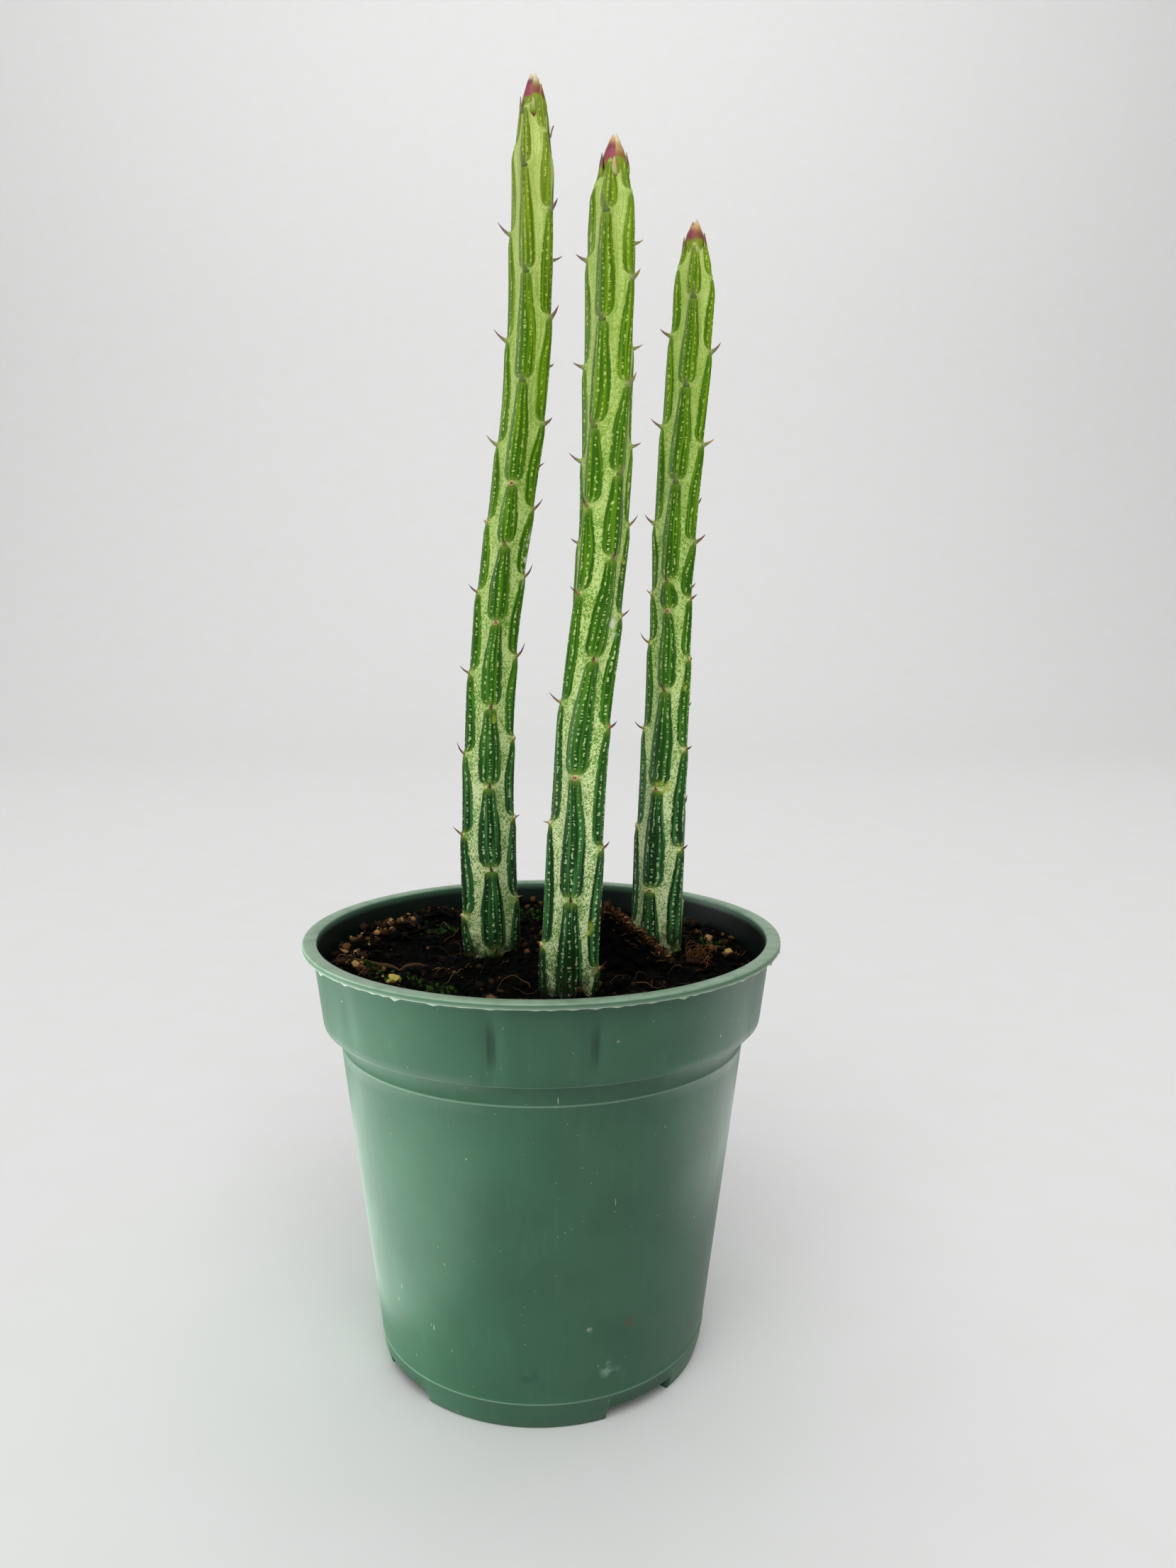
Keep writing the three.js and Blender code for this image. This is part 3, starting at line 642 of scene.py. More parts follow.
def pot_profile():
    """The wall's cross-section as radius and height, once round, from the centre hole outwards."""
    profile = [
        (CENTRE_DRAIN_RADIUS, FOOT_HEIGHT), (FOOT_RADIUS - FOOT_WIDTH, FOOT_HEIGHT),
        (FOOT_RADIUS - FOOT_WIDTH, 0.35), (FOOT_RADIUS - FOOT_WIDTH + 0.35, 0.0),
        (FOOT_RADIUS - 0.35, 0.0), (FOOT_RADIUS, 0.35), (BODY_BASE_RADIUS, FOOT_HEIGHT),
    ]
    beside_lines = [z + dz for z in MOULD_LINES for dz in (-0.22, 0, 0.22)]
    for z in sorted([*np.linspace(9, 76, 12), *beside_lines]):
        ridge = 0.13 if min(abs(z - line) for line in MOULD_LINES) < 0.01 else 0.0
        profile.append((body_radius(z) + ridge, float(z)))
    profile += [(BODY_TOP_RADIUS, COLLAR_BASE - 0.5), (BODY_TOP_RADIUS + 0.5, COLLAR_BASE),
                (COLLAR_BASE_RADIUS - 0.3, COLLAR_BASE), (COLLAR_BASE_RADIUS, COLLAR_BASE + 0.3)]
    for z in np.linspace(COLLAR_BASE + 2, LIP_UNDERSIDE - 1.5, 9):
        radius = np.interp(z, (COLLAR_BASE, LIP_UNDERSIDE), (COLLAR_BASE_RADIUS, COLLAR_TOP_RADIUS))
        profile.append((float(radius), float(z)))
    profile += [
        (COLLAR_TOP_RADIUS, LIP_UNDERSIDE - 0.5), (COLLAR_TOP_RADIUS + 0.5, LIP_UNDERSIDE),
        (RIM_RADIUS - 0.15, LIP_UNDERSIDE), (RIM_RADIUS, FLASH_HEIGHT),
        (RIM_RADIUS, LIP_UNDERSIDE + 0.2), (RIM_RADIUS, POT_HEIGHT - 0.35),
        (RIM_RADIUS - 0.1, POT_HEIGHT - 0.1),
        (RIM_RADIUS - 0.35, POT_HEIGHT), (COLLAR_TOP_RADIUS - WALL + 0.3, POT_HEIGHT),
        (COLLAR_TOP_RADIUS - WALL, POT_HEIGHT - 0.3),
    ]
    for z in np.linspace(POT_HEIGHT - 2, SHELF + 2, 8):
        radius = np.interp(z, INSIDE_HEIGHTS, INSIDE_RADII)
        profile.append((float(radius), float(z)))
    profile += [
        (COLLAR_BASE_RADIUS - WALL, SHELF), (BODY_TOP_RADIUS - WALL, SHELF),
        (BODY_BASE_RADIUS - WALL, FLOOR_TOP), (CENTRE_DRAIN_RADIUS, FLOOR_TOP),
    ]
    return profile


def notch_edge(azimuth):
    """Where a point of the foot's bottom edge goes: its azimuth, and its height above the table."""
    spacing = 360.0 / FOOT_COUNT
    from_notch = (azimuth - NOTCH_AZIMUTH + spacing / 2) % spacing - spacing / 2
    step = round((NOTCH_SPAN / 2 - abs(from_notch)) / (360.0 / SPIN_STEPS))
    if step < 0:
        return azimuth, 0.0
    inwards, height = NOTCH_EDGE[min(step, len(NOTCH_EDGE) - 1)]
    if step >= len(NOTCH_EDGE) - 1:
        return azimuth, height
    end = NOTCH_SPAN / 2 - inwards
    return azimuth - from_notch + copysign(end, from_notch), height


def drain_cutters():
    """The round holes in the pot's floor, as one mesh of pegs."""
    bm = bmesh.new()
    for i in range(DRAIN_COUNT):
        place = outward(NOTCH_AZIMUTH + 360 / DRAIN_COUNT * i) * DRAIN_RING_SHARE * FOOT_RADIUS
        place.z = FLOOR_TOP - FLOOR_THICKNESS / 2
        bmesh.ops.create_cone(bm, cap_ends=True, segments=32, radius1=DRAIN_RADIUS,
                              radius2=DRAIN_RADIUS, depth=2 * FLOOR_THICKNESS,
                              matrix=Matrix.Translation(place))
    bmesh.ops.scale(bm, vec=(MM, MM, MM), verts=bm.verts)
    return mesh_object("drain_pegs", bm, smooth=False)


def make_pot(material):
    bm = bmesh.new()
    layer = bm.verts.layers.float.new("flash")
    spun(bm, pot_profile(), SPIN_STEPS, closed=True)
    for vert in bm.verts:
        x, y, z = vert.co
        radius = hypot(x, y)
        azimuth = degrees(atan2(x, -y))
        if z < 0.5 and radius > BODY_BASE_RADIUS - 6:
            azimuth, height = notch_edge(azimuth)
            vert.co = outward(azimuth) * radius
            vert.co.z = max(height, z)
        if COLLAR_BASE < z < POT_HEIGHT and radius < RIM_RADIUS - 0.3:
            middle = (COLLAR_BASE + LIP_UNDERSIDE) / 2
            fade = max(0.0, 1 - ((z - middle) / (COLLAR_HEIGHT * 0.55)) ** 2)
            for dent, width, depth in DENTS:
                turned = (azimuth - dent + 180) % 360 - 180
                radius -= depth * fade * exp(-(turned / width) ** 2)
            vert.co = outward(azimuth) * radius + Vector((0, 0, z))
        if abs(z - FLASH_HEIGHT) < 0.02 and radius > RIM_RADIUS - 0.05:
            rough = uneven(azimuth * 0.55, 0.0, 3.0) + 0.5 * uneven(azimuth * 1.9, 2.0, 3.0)
            hang = min(0.7, 0.02 + 1.1 * max(0.0, rough - 0.05))
            vert.co = outward(azimuth) * (RIM_RADIUS + 0.04 + 0.25 * hang)
            vert.co.z = FLASH_HEIGHT - hang
            vert[layer] = 0.75 + 0.25 * min(1.0, 4 * hang)
        if abs(z - LIP_UNDERSIDE - 0.2) < 0.02 and radius > RIM_RADIUS - 0.05:
            vert[layer] = 0.25
    pot = piece("pot_shell", bm, material, ["pot"], merge=0.0005)
    pegs = drain_cutters()
    cut = pot.modifiers.new("drain_holes", "BOOLEAN")
    cut.object = pegs
    cut.solver = "EXACT"
    graph = bpy.context.evaluated_depsgraph_get()
    mesh = bpy.data.meshes.new_from_object(pot.evaluated_get(graph))
    pot.modifiers.clear()
    pot.data = mesh
    mesh.name = "pot_shell"
    bpy.data.objects.remove(pegs)
    return pot


# ---- Soil ----

SOIL_LAYERS = 104
SOIL_SIDES = 320


def soil_height(x, y):
    """How high the peat lies: the part's own waves, a bank at the back left, and its lumps."""
    u, v = x / SOIL_RADIUS, y / SOIL_RADIUS
    lie = SOIL_LEVEL + 0.9 * v - 0.5 * u * u
    lie += 0.6 * (sin(5 * u + 2 * v + 1) + cos(7 * v - 4 * u))
    lie += 0.35 * sin(17 * u) * sin(15 * v + 2)
    lie += 1.6 * exp(-((x + 34) ** 2 + (y - 20) ** 2) / 260.0)
    return lie


def rough_soil(x, y):
    """The peat's surface with its lumps and crumbs."""
    lump = uneven(x / 5.0, y / 5.0, 1.0)
    clod = uneven(x / 2.2, y / 2.2, 7.0)
    crumb = uneven(x / 0.9, y / 0.9, 3.0)
    heap = uneven(x / 9.0, y / 9.0, 12.0)
    bank = 1.6 * exp(-((hypot(x, y) - 44.0) / 5.0) ** 2) * max(0.0, -x / 50.0)
    return soil_height(x, y) + bank + 1.9 * heap + 1.4 * lump + 0.9 * clod + 0.5 * crumb


def make_soil(material):
    """The root ball: its top is rough peat, its sides follow the pot's inside."""
    bm = bmesh.new()
    wall = ((BODY_BASE_RADIUS, FLOOR_TOP), (BODY_TOP_RADIUS, SHELF), (COLLAR_BASE_RADIUS, SHELF))
    profile = [(0.0, FLOOR_TOP + SOIL_CLEARANCE)]
    profile += [(r - WALL - SOIL_CLEARANCE, z + SOIL_CLEARANCE) for r, z in wall]
    profile += [(SOIL_RADIUS * i / SOIL_LAYERS, SOIL_LEVEL) for i in range(SOIL_LAYERS, -1, -1)]
    spun(bm, profile, SOIL_SIDES)
    for vert in bm.verts:
        x, y, z = vert.co
        if z < SOIL_LEVEL - 0.01:
            continue
        edge = smooth_step(SOIL_RADIUS, SOIL_RADIUS - 2.0, hypot(x, y))
        height = float(soil_height(x, y) * (1 - edge) + rough_soil(x, y) * edge) - 0.5 * (1 - edge)
        narrow = (np.interp(height, INSIDE_HEIGHTS, INSIDE_RADII) - SOIL_CLEARANCE) / SOIL_RADIUS
        vert.co = (x * narrow, y * narrow, height)
    piece("peat_bed", bm, material, ["soil"])


PEAT_TONES = (
    "030303", "040404", "060504", "0A0806", "120C08", "20150D", "3A281A", "6A4E32", "A8865A",
)
# How far out things lie on the peat, as a share of its radius, and the radius kept for each stem.
SCATTER_REACH = 0.985
STEM_ROOM = 6.6


def clear_of_stems(x, y, room):
    feet = [centre_at(stem, 0.0) for stem in STEMS]
    return all(hypot(x - foot[0], y - foot[1]) >= STEM_ROOM + room for foot in feet)


def scattered(count, room):
    """Random places on the soil, clear of the stems and the pot's wall."""
    places = []
    while len(places) < count:
        x, y = uniform(-1, 1) * SOIL_RADIUS, uniform(-1, 1) * SOIL_RADIUS
        reached = hypot(x, y) + room
        if reached < SCATTER_REACH * SOIL_RADIUS and clear_of_stems(x, y, room * 0.5):
            places.append((x, y))
    return places


def lump(bm, layer, place, size, tone, detail=1, roughness=0.28, turn=None):
    """A crumb or chip: a small many-sided ball, stretched, dented, turned and tinted."""
    made = bmesh.ops.create_icosphere(bm, subdivisions=detail, radius=1.0)["verts"]
    turn = turn or (uniform(-0.5, 0.5), uniform(-0.5, 0.5), uniform(0, 6.28))
    spin_by = (Matrix.Rotation(turn[2], 3, "Z") @ Matrix.Rotation(turn[1], 3, "Y")
               @ Matrix.Rotation(turn[0], 3, "X"))
    seed = Vector((place[0] * 3.7, place[1] * 5.1, 0.0))
    size = Vector(size)
    for vert in made:
        dent = 1 + roughness * noise.noise(vert.co * 1.7 + seed) * 2
        vert.co = spin_by @ (vert.co * dent * size) + Vector(place)
        vert[layer] = tone


# Brown crumbs banked against the wall: where each bank starts and stops, and how many it has.
CRUMB_BANKS = ((-155, -60, 420), (-60, -8, 110), (95, 150, 90), (150, 205, 60))


def bank_places():
    """The crumbs of each bank: azimuth in radians, radius, size and how light its tone is."""
    places = []
    for start, stop, count in CRUMB_BANKS:
        for _ in range(count):
            angle = radians(uniform(start, stop))
            radius = SOIL_RADIUS * uniform(0.8, 0.96)
            size = 0.25 + 1.1 * random.random() ** 2.2
            places.append((angle, radius, size, choice((4, 5, 5, 5, 6, 6, 6, 7, 7, 8))))
    return places


def peat_crumbs(material):
    """Crumbs, clods and bark chips lying on the peat."""
    bm, layer = toned_bmesh()
    for x, y in scattered(1500, 0.4):
        radius = choice((0.35, 0.45, 0.6, 0.8, 1.1)) * uniform(0.8, 1.2)
        tone = linear(PEAT_TONES[min(8, int(random.random() ** 1.9 * 7.6))])
        size = (radius, radius * uniform(0.6, 1.0), radius * uniform(0.5, 0.9))
        lump(bm, layer, (x, y, rough_soil(x, y) + radius * 0.25), size, tone)
    for x, y in scattered(150, 1.2):
        radius = uniform(1.0, 2.0)
        tone = linear(PEAT_TONES[min(5, int(random.random() ** 1.5 * 6))])
        size = (radius, radius * uniform(0.5, 0.9), radius * uniform(0.4, 0.8))
        lump(bm, layer, (x, y, rough_soil(x, y) + radius * 0.2), size, tone, 2)
    for angle, radius, size, low_tone in bank_places():
        x, y = sin(angle) * radius, -cos(angle) * radius
        tone = linear(PEAT_TONES[low_tone])
        shape = (size, size * uniform(0.5, 0.9), size * uniform(0.5, 0.9))
        lump(bm, layer, (x, y, rough_soil(x, y) + uniform(0.1, 1.3)), shape, tone, 1, 0.6)
    piece("peat_crumbs", bm, material)


def bark_strips(material):
    """Flat splinters of bark on the peat, thickest in the bank at the back left."""
    bm, layer = toned_bmesh()
    places = [(x, y, uniform(0.9, 2.2)) for x, y in scattered(80, 1.6)]
    for _ in range(46):
        angle, off = uniform(0, 6.28), uniform(0, 13)
        x, y = -34 + off * cos(angle), 22 + off * 0.8 * sin(angle)
        if hypot(x, y) < 0.9 * SOIL_RADIUS and clear_of_stems(x, y, 1.0):
            places.append((x, y, uniform(1.6, 3.6)))
    for x, y, length in places:
        tone = linear(PEAT_TONES[choice((1, 2, 2, 3, 3, 4, 4, 5, 6))])
        turn = (uniform(-0.6, 0.6), uniform(-0.45, 0.45), uniform(0, 6.28))
        size = (length, length * uniform(0.18, 0.4), uniform(0.2, 0.4))
        lift = uniform(0.2, 0.9)
        lump(bm, layer, (x, y, rough_soil(x, y) + lift), size, tone, 2, 0.5, turn)
    piece("bark_splinters", bm, material)


MOSS_TONES = ("070D05", "0E1A08", "182A0C", "263C12", "34501A")
# Each cushion of moss: where it is, how wide it spreads, and how many tufts it has.
MOSS_CUSHIONS = (
    (-42, -12, 4.0, 110), (-33, -18, 5.0, 150), (-23, -25, 4.0, 110), (-3, 36, 5.0, 130),
    (-27, 22, 5.0, 110), (42, 10, 4.0, 70), (34, 28, 5.0, 80), (40, -18, 4.0, 50),
)


def moss(material):
    """Low dark cushions of moss, each a cluster of tiny tufts."""
    bm, layer = toned_bmesh()
    for cx, cy, spread, count in MOSS_CUSHIONS:
        for _ in range(count):
            x, y = gauss(cx, spread * 0.5), gauss(cy, spread * 0.4)
            if hypot(x, y) > 0.96 * SOIL_RADIUS or not clear_of_stems(x, y, 0.5):
                continue
            radius = uniform(0.35, 0.7)
            lump(bm, layer, (x, y, rough_soil(x, y) + 0.3), (radius, radius, radius * 1.1),
                 linear(choice(MOSS_TONES)), 1, 0.5)
    piece("moss_tufts", bm, material)


def fibre_path(x, y, angle, length, wander, lift, steps=12):
    """A loose fibre's route over the peat: it wanders sideways and rises and falls a little."""
    points, heading = [], angle
    for i in range(steps + 1):
        share = i / steps
        arch = sin(pi * share) * lift
        points.append((x, y, rough_soil(x, y) + 0.25 + arch))
        heading += uniform(-wander, wander)
        x += cos(heading) * length / steps
        y += sin(heading) * length / steps
        if hypot(x, y) > 0.97 * SOIL_RADIUS or not clear_of_stems(x, y, 0.3):
            break
    return points


FIBRE_TONES = ("2E1C10", "4A301A", "5E4026", "70522F", "20140C", "8A7048")


def soil_fibres(material):
    """Fine roots and fibres on the peat, and one long brown strand along its front left."""
    bm, layer = toned_bmesh()
    routes = []
    for x, y in scattered(90, 0.8):
        points = fibre_path(x, y, uniform(0, 6.28), uniform(3, 11), 0.5, uniform(0, 1.6))
        routes.append((points, uniform(0.07, 0.16), choice(FIBRE_TONES)))
    strand_points = [(-45 + 1.6 * i, -7.4 - 0.05 * i + 0.5 * sin(i * 1.3)) for i in range(14)]
    routes.append(([(x, y, rough_soil(x, y) + 0.7) for x, y in strand_points], 0.8, "4E361E"))
    for stem in STEMS:
        foot = centre_at(stem, 0.0)
        for _ in range(10):
            angle = uniform(0, 360)
            start = Vector(foot) + outward(angle) * 7.2
            direction = radians(angle - 90 + uniform(-80, 80))
            points = fibre_path(start.x, start.y, direction, uniform(3, 7), 0.5, 1.2, 8)
            routes.append((points, uniform(0.08, 0.16), choice(FIBRE_TONES[:3])))
    for points, radius, tone in routes:
        if len(points) < 3:
            continue
        widths = [radius * (1 - 0.7 * i / len(points)) for i in range(len(points))]
        for vert in strand(bm, points, widths, 5):
            vert[layer] = linear(tone)
    piece("peat_fibres", bm, material)


# ---- Loose pieces ----

BARK_SHARE = (0.425, -0.123)
BARK_WIDTH = 18.5
BARK_PEAK = 14.5
BARK_BURIED = 6.0
BARK_THICKNESS = 4.0
BARK_LEAN = 8.0
BARK_TURN = 9.0
# The chip's torn top: heights above the soil at places along its width, from -1 to 1.
BARK_TOP_AT = (-1, -0.78, 0.3, 1)
BARK_TOP = (BARK_PEAK - 2.2, BARK_PEAK, BARK_PEAK * 0.42, 0.4)
BARK_TONES = (linear("060504"), linear("624430"))
# Splinters standing off it: along its torn top, then down its faces.
TOP_SPLINTERS = ("7A5230", "5C3A20", "B08C60", "3A2414")
FACE_SPLINTERS = ("20150D", "34241A", "120C08", "5A422C")


def bark_chip(material):
    """A thick chip of pine bark on edge, its top torn along the grain."""
    bm, layer = toned_bmesh()
    bmesh.ops.create_cube(bm, size=2.0)
    bmesh.ops.subdivide_edges(bm, edges=bm.edges, cuts=31, use_grid_fill=True)
    middle = (BARK_SHARE[0] * SOIL_RADIUS, BARK_SHARE[1] * SOIL_RADIUS, SOIL_LEVEL)
    place = (Matrix.Translation(middle)
             @ Matrix.Rotation(radians(BARK_TURN), 4, "Z")
             @ Matrix.Rotation(-radians(BARK_LEAN), 4, "X"))
    for vert in bm.verts:
        s, q, t = vert.co
        t = (t + 1) / 2
        top = float(np.interp(s, BARK_TOP_AT, BARK_TOP))
        torn = uneven(s * 8, q * 4, 1.0) * 2.4 + uneven(s * 22, q * 9, 4.0) * 1.8
        height = -BARK_BURIED + t * (top + BARK_BURIED) + torn * t ** 4
        thick = BARK_THICKNESS / 2 * (1 - 0.35 * t ** 3)
        broken = uneven(s * 4, q, height * 0.5) + 0.9 * uneven(s * 12, q, height * 1.4)
        depth = q * thick + 1.3 * broken
        across = s * (BARK_WIDTH / 2 - 0.8 * abs(t - 0.4)) + 0.6 * uneven(q * 2, height * 0.5, 9.0)
        vert.co = place @ Vector((across, depth, height))
        # Paler inner bark shows along the torn top; further down the faces are near-black, partly
        # the bark's own dark and partly painted shade.
        from_top = (top - height) / 2.6
        layers = uneven(s * 1.5, q * 9, height * 0.4)
        flecks = uneven(s * 30, q * 12, height * 2.0)
        inner = max(0.0, min(1.0, 0.6 - from_top + 0.4 * layers + 1.1 * flecks))
        vert[layer] = [d + (w - d) * inner for d, w in zip(*BARK_TONES)]
    for i in range(90):
        s = uniform(-0.95, 0.95)
        top = float(np.interp(s, BARK_TOP_AT, BARK_TOP))
        down = choice((0.3, 0.6, 1.2, 2.5, 5.0)) if i % 2 else 0.5
        start = Vector((s * 8.6, uniform(-2.9, -1.6) if down > 0.5 else uniform(-2.2, 1.2),
                        max(0.6, top - down)))
        end = start + Vector((uniform(-0.8, 2.6), uniform(-0.9, 0.5), uniform(-1.6, 0.6)))
        middle = (start + end) / 2 + Vector((0, uniform(-0.5, 0.3), 0.3))
        points = [tuple(place @ p) for p in (start, middle, end)]
        tones = TOP_SPLINTERS if down < 1.0 else FACE_SPLINTERS
        for vert in strand(bm, points, (0.3, 0.24, 0.06), 5):
            vert[layer] = linear(choice(tones))
    piece("pine_bark_chip", bm, material, ["bark_chip"])


def fibre_clump(material):
    """A tangle of coir: many short curled fibres round one point."""
    low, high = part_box("fibre_clump")
    middle = (Vector(low) + Vector(high)) / 2 / MM
    bm, layer = toned_bmesh()
    for _ in range(60):
        point = middle + Vector((gauss(0, 1.6), gauss(0, 1.3), gauss(-0.4, 0.8)))
        heading = Vector((gauss(0, 1), gauss(0, 1), gauss(0, 0.5))).normalized()
        points = []
        for _ in range(9):
            points.append(tuple(point))
            pull = (middle - point) * 0.16
            heading = (heading + Vector([gauss(0, 0.4) for _ in range(3)]) + pull).normalized()
            point = point + heading * 0.75
        radius = uniform(0.07, 0.17)
        tone = linear(choice(("6A3E1C", "7E4C20", "4E2C14", "9A6A34", "301C0E")))
        for vert in strand(bm, points, [radius] * 9, 5):
            vert[layer] = tone
    for _ in range(10):
        place = middle + Vector((gauss(0, 1.4), gauss(0, 1.2), -0.8))
        lump(bm, layer, tuple(place), (1.1, 0.9, 0.7), linear("2C1A0C"), 2, 0.4)
    piece("coir_clump", bm, material, ["fibre_clump"])


CRUMB_TONES = ("C2A050", "8A6A3C", "B0A654", "7A5834", "B49460")


def loose_crumbs(material):
    """The five larger crumbs that lie on top of the peat."""
    bm, layer = toned_bmesh()
    nodes = [f"soil_crumb_{i}" for i in range(1, 6)]
    for node, tone in zip(nodes, CRUMB_TONES):
        low, high = (Vector(corner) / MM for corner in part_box(node))
        middle, size = (low + high) / 2, (high - low) / 2
        middle.z = rough_soil(middle.x, middle.y) + size.z * 0.6
        lump(bm, layer, tuple(middle), tuple(size), linear(tone), 3, 0.25, (0, 0, 0))
    piece("loose_crumbs", bm, material, nodes)


# ---- Materials ----

PER_METRE = 1000.0
TIMES = {"operation": "MULTIPLY"}
PLUS = {"operation": "ADD"}
MINUS = {"operation": "SUBTRACT"}
SIZE_OF = {"operation": "ABSOLUTE"}
NEAREST = {"operation": "ROUND"}
SMOOTH = {"interpolation_type": "SMOOTHSTEP"}
OVER = {"data_type": "RGBA", "clamp_factor": True}
TINTED = {"data_type": "RGBA", "blend_type": "MULTIPLY"}


# Colours of the skin up a stem, by shares of SKIN_RISE: the panels' dark and light streaks, the
# silver skin, its worm marks, and the pale dashes.
SKIN_RISE = 200.0
SKIN_RAMPS = (
    [(0.0, "12350F"), (0.16, "144410"), (0.3, "265C0C"), (0.45, "346602"), (0.7, "4A7802"),
     (0.95, "6E8404")],
    [(0.0, "3A7440"), (0.16, "458444"), (0.3, "528C24"), (0.45, "66980C"), (0.7, "7CA20C"),
     (0.95, "96AE24")],
    [(0.0, "DCE8B4"), (0.16, "E4F0BC"), (0.35, "D0E49A"), (0.7, "C4D880"), (0.97, "CCDA88")],
    [(0.0, "5C8A40"), (0.16, "709C48"), (0.35, "6A9A2A"), (0.7, "84AC2C"), (0.97, "9CB838")],
    [(0.0, "C4D8B0"), (0.3, "CFE2A8"), (0.6, "C6DA7C"), (1.0, "C4D070")],
)


def stem_material():
    """Succulent epidermis under a thin wax bloom: a soft sheen, dark panels with dashed pale
    lines, and silver skin between them with fine green worm marks."""
    m = new_material("waxed_succulent_epidermis")
    place = add(m, COORDINATES, out="Object")
    panel, lane, below, above, height, hue, blotch, bleach = (
        add(m, ATTRIBUTE, {"attribute_name": name}, out="Fac") for name in SKIN_ATTRIBUTES)
    up = add(m, MATH, TIMES, (height, 1 / SKIN_RISE))
    dark, light, silver, green, pale = (
        add(m, RAMP, {"stops": stops}, (up,)) for stops in SKIN_RAMPS)
    sway, patch, edge, soil_line = (
        add(m, NOISE, None, {"Vector": place, "Scale": scale * PER_METRE, "Detail": detail})
        for scale, detail in ((0.8, 2.0), (0.2, 1.0), (0.6, 3.0), (0.5, 4.0)))

    # Long streaks down each panel, about 0.6 mm wide.
    streak_place = add(m, COMBINE, None, [
        add(m, MATH, TIMES, pair) for pair in ((lane, 4.2), (height, 0.05), (hue, 9.0))])
    streak = add(m, NOISE, None, {"Vector": streak_place, "Scale": 1.0, "Detail": 2.0})
    streaks = add(m, FADE, SMOOTH, (streak, 0.4, 0.64))
    cap = add(m, FADE, SMOOTH, (below, 6.0, 0.5, 0, 0.4))

    # The dashes: lines of short pale strokes down each panel, about 0.35 mm wide.
    swing = add(m, MATH, TIMES, (add(m, MATH, MINUS, (sway, 0.5)), 0.9))
    lanes = add(m, MATH, PLUS, (add(m, MATH, TIMES, (lane, 2.0)), swing))
    nearest = add(m, MATH, NEAREST, (lanes,))
    off_line = add(m, MATH, SIZE_OF, (add(m, MATH, MINUS, (lanes, nearest)),))
    stroke_place = add(m, COMBINE, None, [
        add(m, MATH, TIMES, pair) for pair in ((nearest, 7.3), (height, 1.5), (hue, 31.0))])
    stroke = add(m, NOISE, None, {"Vector": stroke_place, "Scale": 1.0, "Detail": 3.0,
                                  "Roughness": 0.7})
    dashes = add(m, FADE, SMOOTH, (off_line, 0.2, 0.08))
    for fade in ((stroke, 0.5, 0.56), (below, 1.0, 3.5, 0, 0.85)):
        dashes = add(m, MATH, TIMES, (dashes, add(m, FADE, SMOOTH, fade)))
    panel_colour = dark
    for mask, over in ((streaks, light), (cap, dark), (dashes, pale)):
        panel_colour = add(m, MIX, OVER, {0: mask, 6: panel_colour, 7: over}, out=2)

    # The silver skin's worm marks are 0.3 to 0.4 mm wide.
    worm = add(m, NOISE, None, {"Vector": place, "Scale": 2.4 * PER_METRE, "Detail": 1.5,
                                "Distortion": 1.2})
    patchy = add(m, MATH, TIMES, (add(m, MATH, MINUS, (patch, 0.5)), 0.3))
    worm_cut = add(m, MATH, PLUS, (worm, patchy))
    strength = add(m, FADE, SMOOTH, (height, 185.0, 90.0, 0.4, 1.0))
    marks = add(m, MATH, TIMES, (add(m, FADE, SMOOTH, (worm_cut, 0.46, 0.6)), strength))
    drawn = add(m, MATH, TIMES, (streaks, add(m, FADE, SMOOTH, (height, 70.0, 150.0, 0, 0.5))))

    # Round each scar the skin is plain and yellow-green.
    aside = add(m, MATH, SIZE_OF, (lane,))
    under_scar, over_scar = (
        add(m, MATH, TIMES, (add(m, FADE, SMOOTH, (*up_and_down, 0, 0.55)),
                             add(m, FADE, SMOOTH, (aside, *to_the_side))))
        for up_and_down, to_the_side in (
            ((below, 2.4, 0.3), (1.5, 0.5)), ((above, 2.2, 0.4), (1.3, 0.4))))
    halo = add(m, MATH, {"operation": "MAXIMUM"}, (under_scar, over_scar))

    # Blotches of yellow, and a bleached corky crack and patch.
    yellow, white = (
        add(m, MATH, TIMES, (spots, add(m, FADE, SMOOTH, (edge, 0.38, 0.56, 0, share))))
        for spots, share in ((blotch, 0.75), (bleach, 1.0)))

    # Peat splashed up the foot, and painted shade: darker over the last few millimetres above the
    # soil.
    splash = add(m, MATH, TIMES, (add(m, FADE, SMOOTH, (height, 13.0, 0.0)),
                                  add(m, FADE, SMOOTH, (soil_line, 0.4, 0.6, 0, 0.8))))
    damp = add(m, FADE, SMOOTH, (height, 7.0, -1.0, 0, 0.6))

    inside = add(m, FADE, SMOOTH, (panel, -0.16, 0.16))
    # A thin dark band just inside each panel's edge is painted shade at the panel's rounded
    # shoulder.
    rim = add(m, MATH, TIMES, (add(m, FADE, SMOOTH, (panel, -0.15, 0.1)),
                               add(m, FADE, SMOOTH, (panel, 0.6, 0.2, 0, 0.22))))
    colour = silver
    for mask, over in (
            (marks, green), (drawn, light), (inside, panel_colour), (rim, dark), (halo, "86A03E"),
            (yellow, "AEBE44"), (white, "DDE4C8"), (splash, "2C2A18"), (damp, "12180C")):
        colour = add(m, MIX, OVER, {0: mask, 6: colour, 7: over}, out=2)

    relief = add(m, MATH, PLUS, (inside, add(m, MATH, TIMES, (worm, 0.35))))
    bump = add(m, BUMP, None, {"Height": relief, "Strength": 0.5, "Distance": 0.12 * MM})
    rough = add(m, FADE, None, (worm, 0, 1, 0.34, 0.48))
    shader = add(m, PRINCIPLED, None, {"Base Color": colour, "Roughness": rough, "Normal": bump,
                                       "IOR": 1.45, "Specular IOR Level": 0.3})
    add(m, OUTPUT, None, {"Surface": shader})
    return m


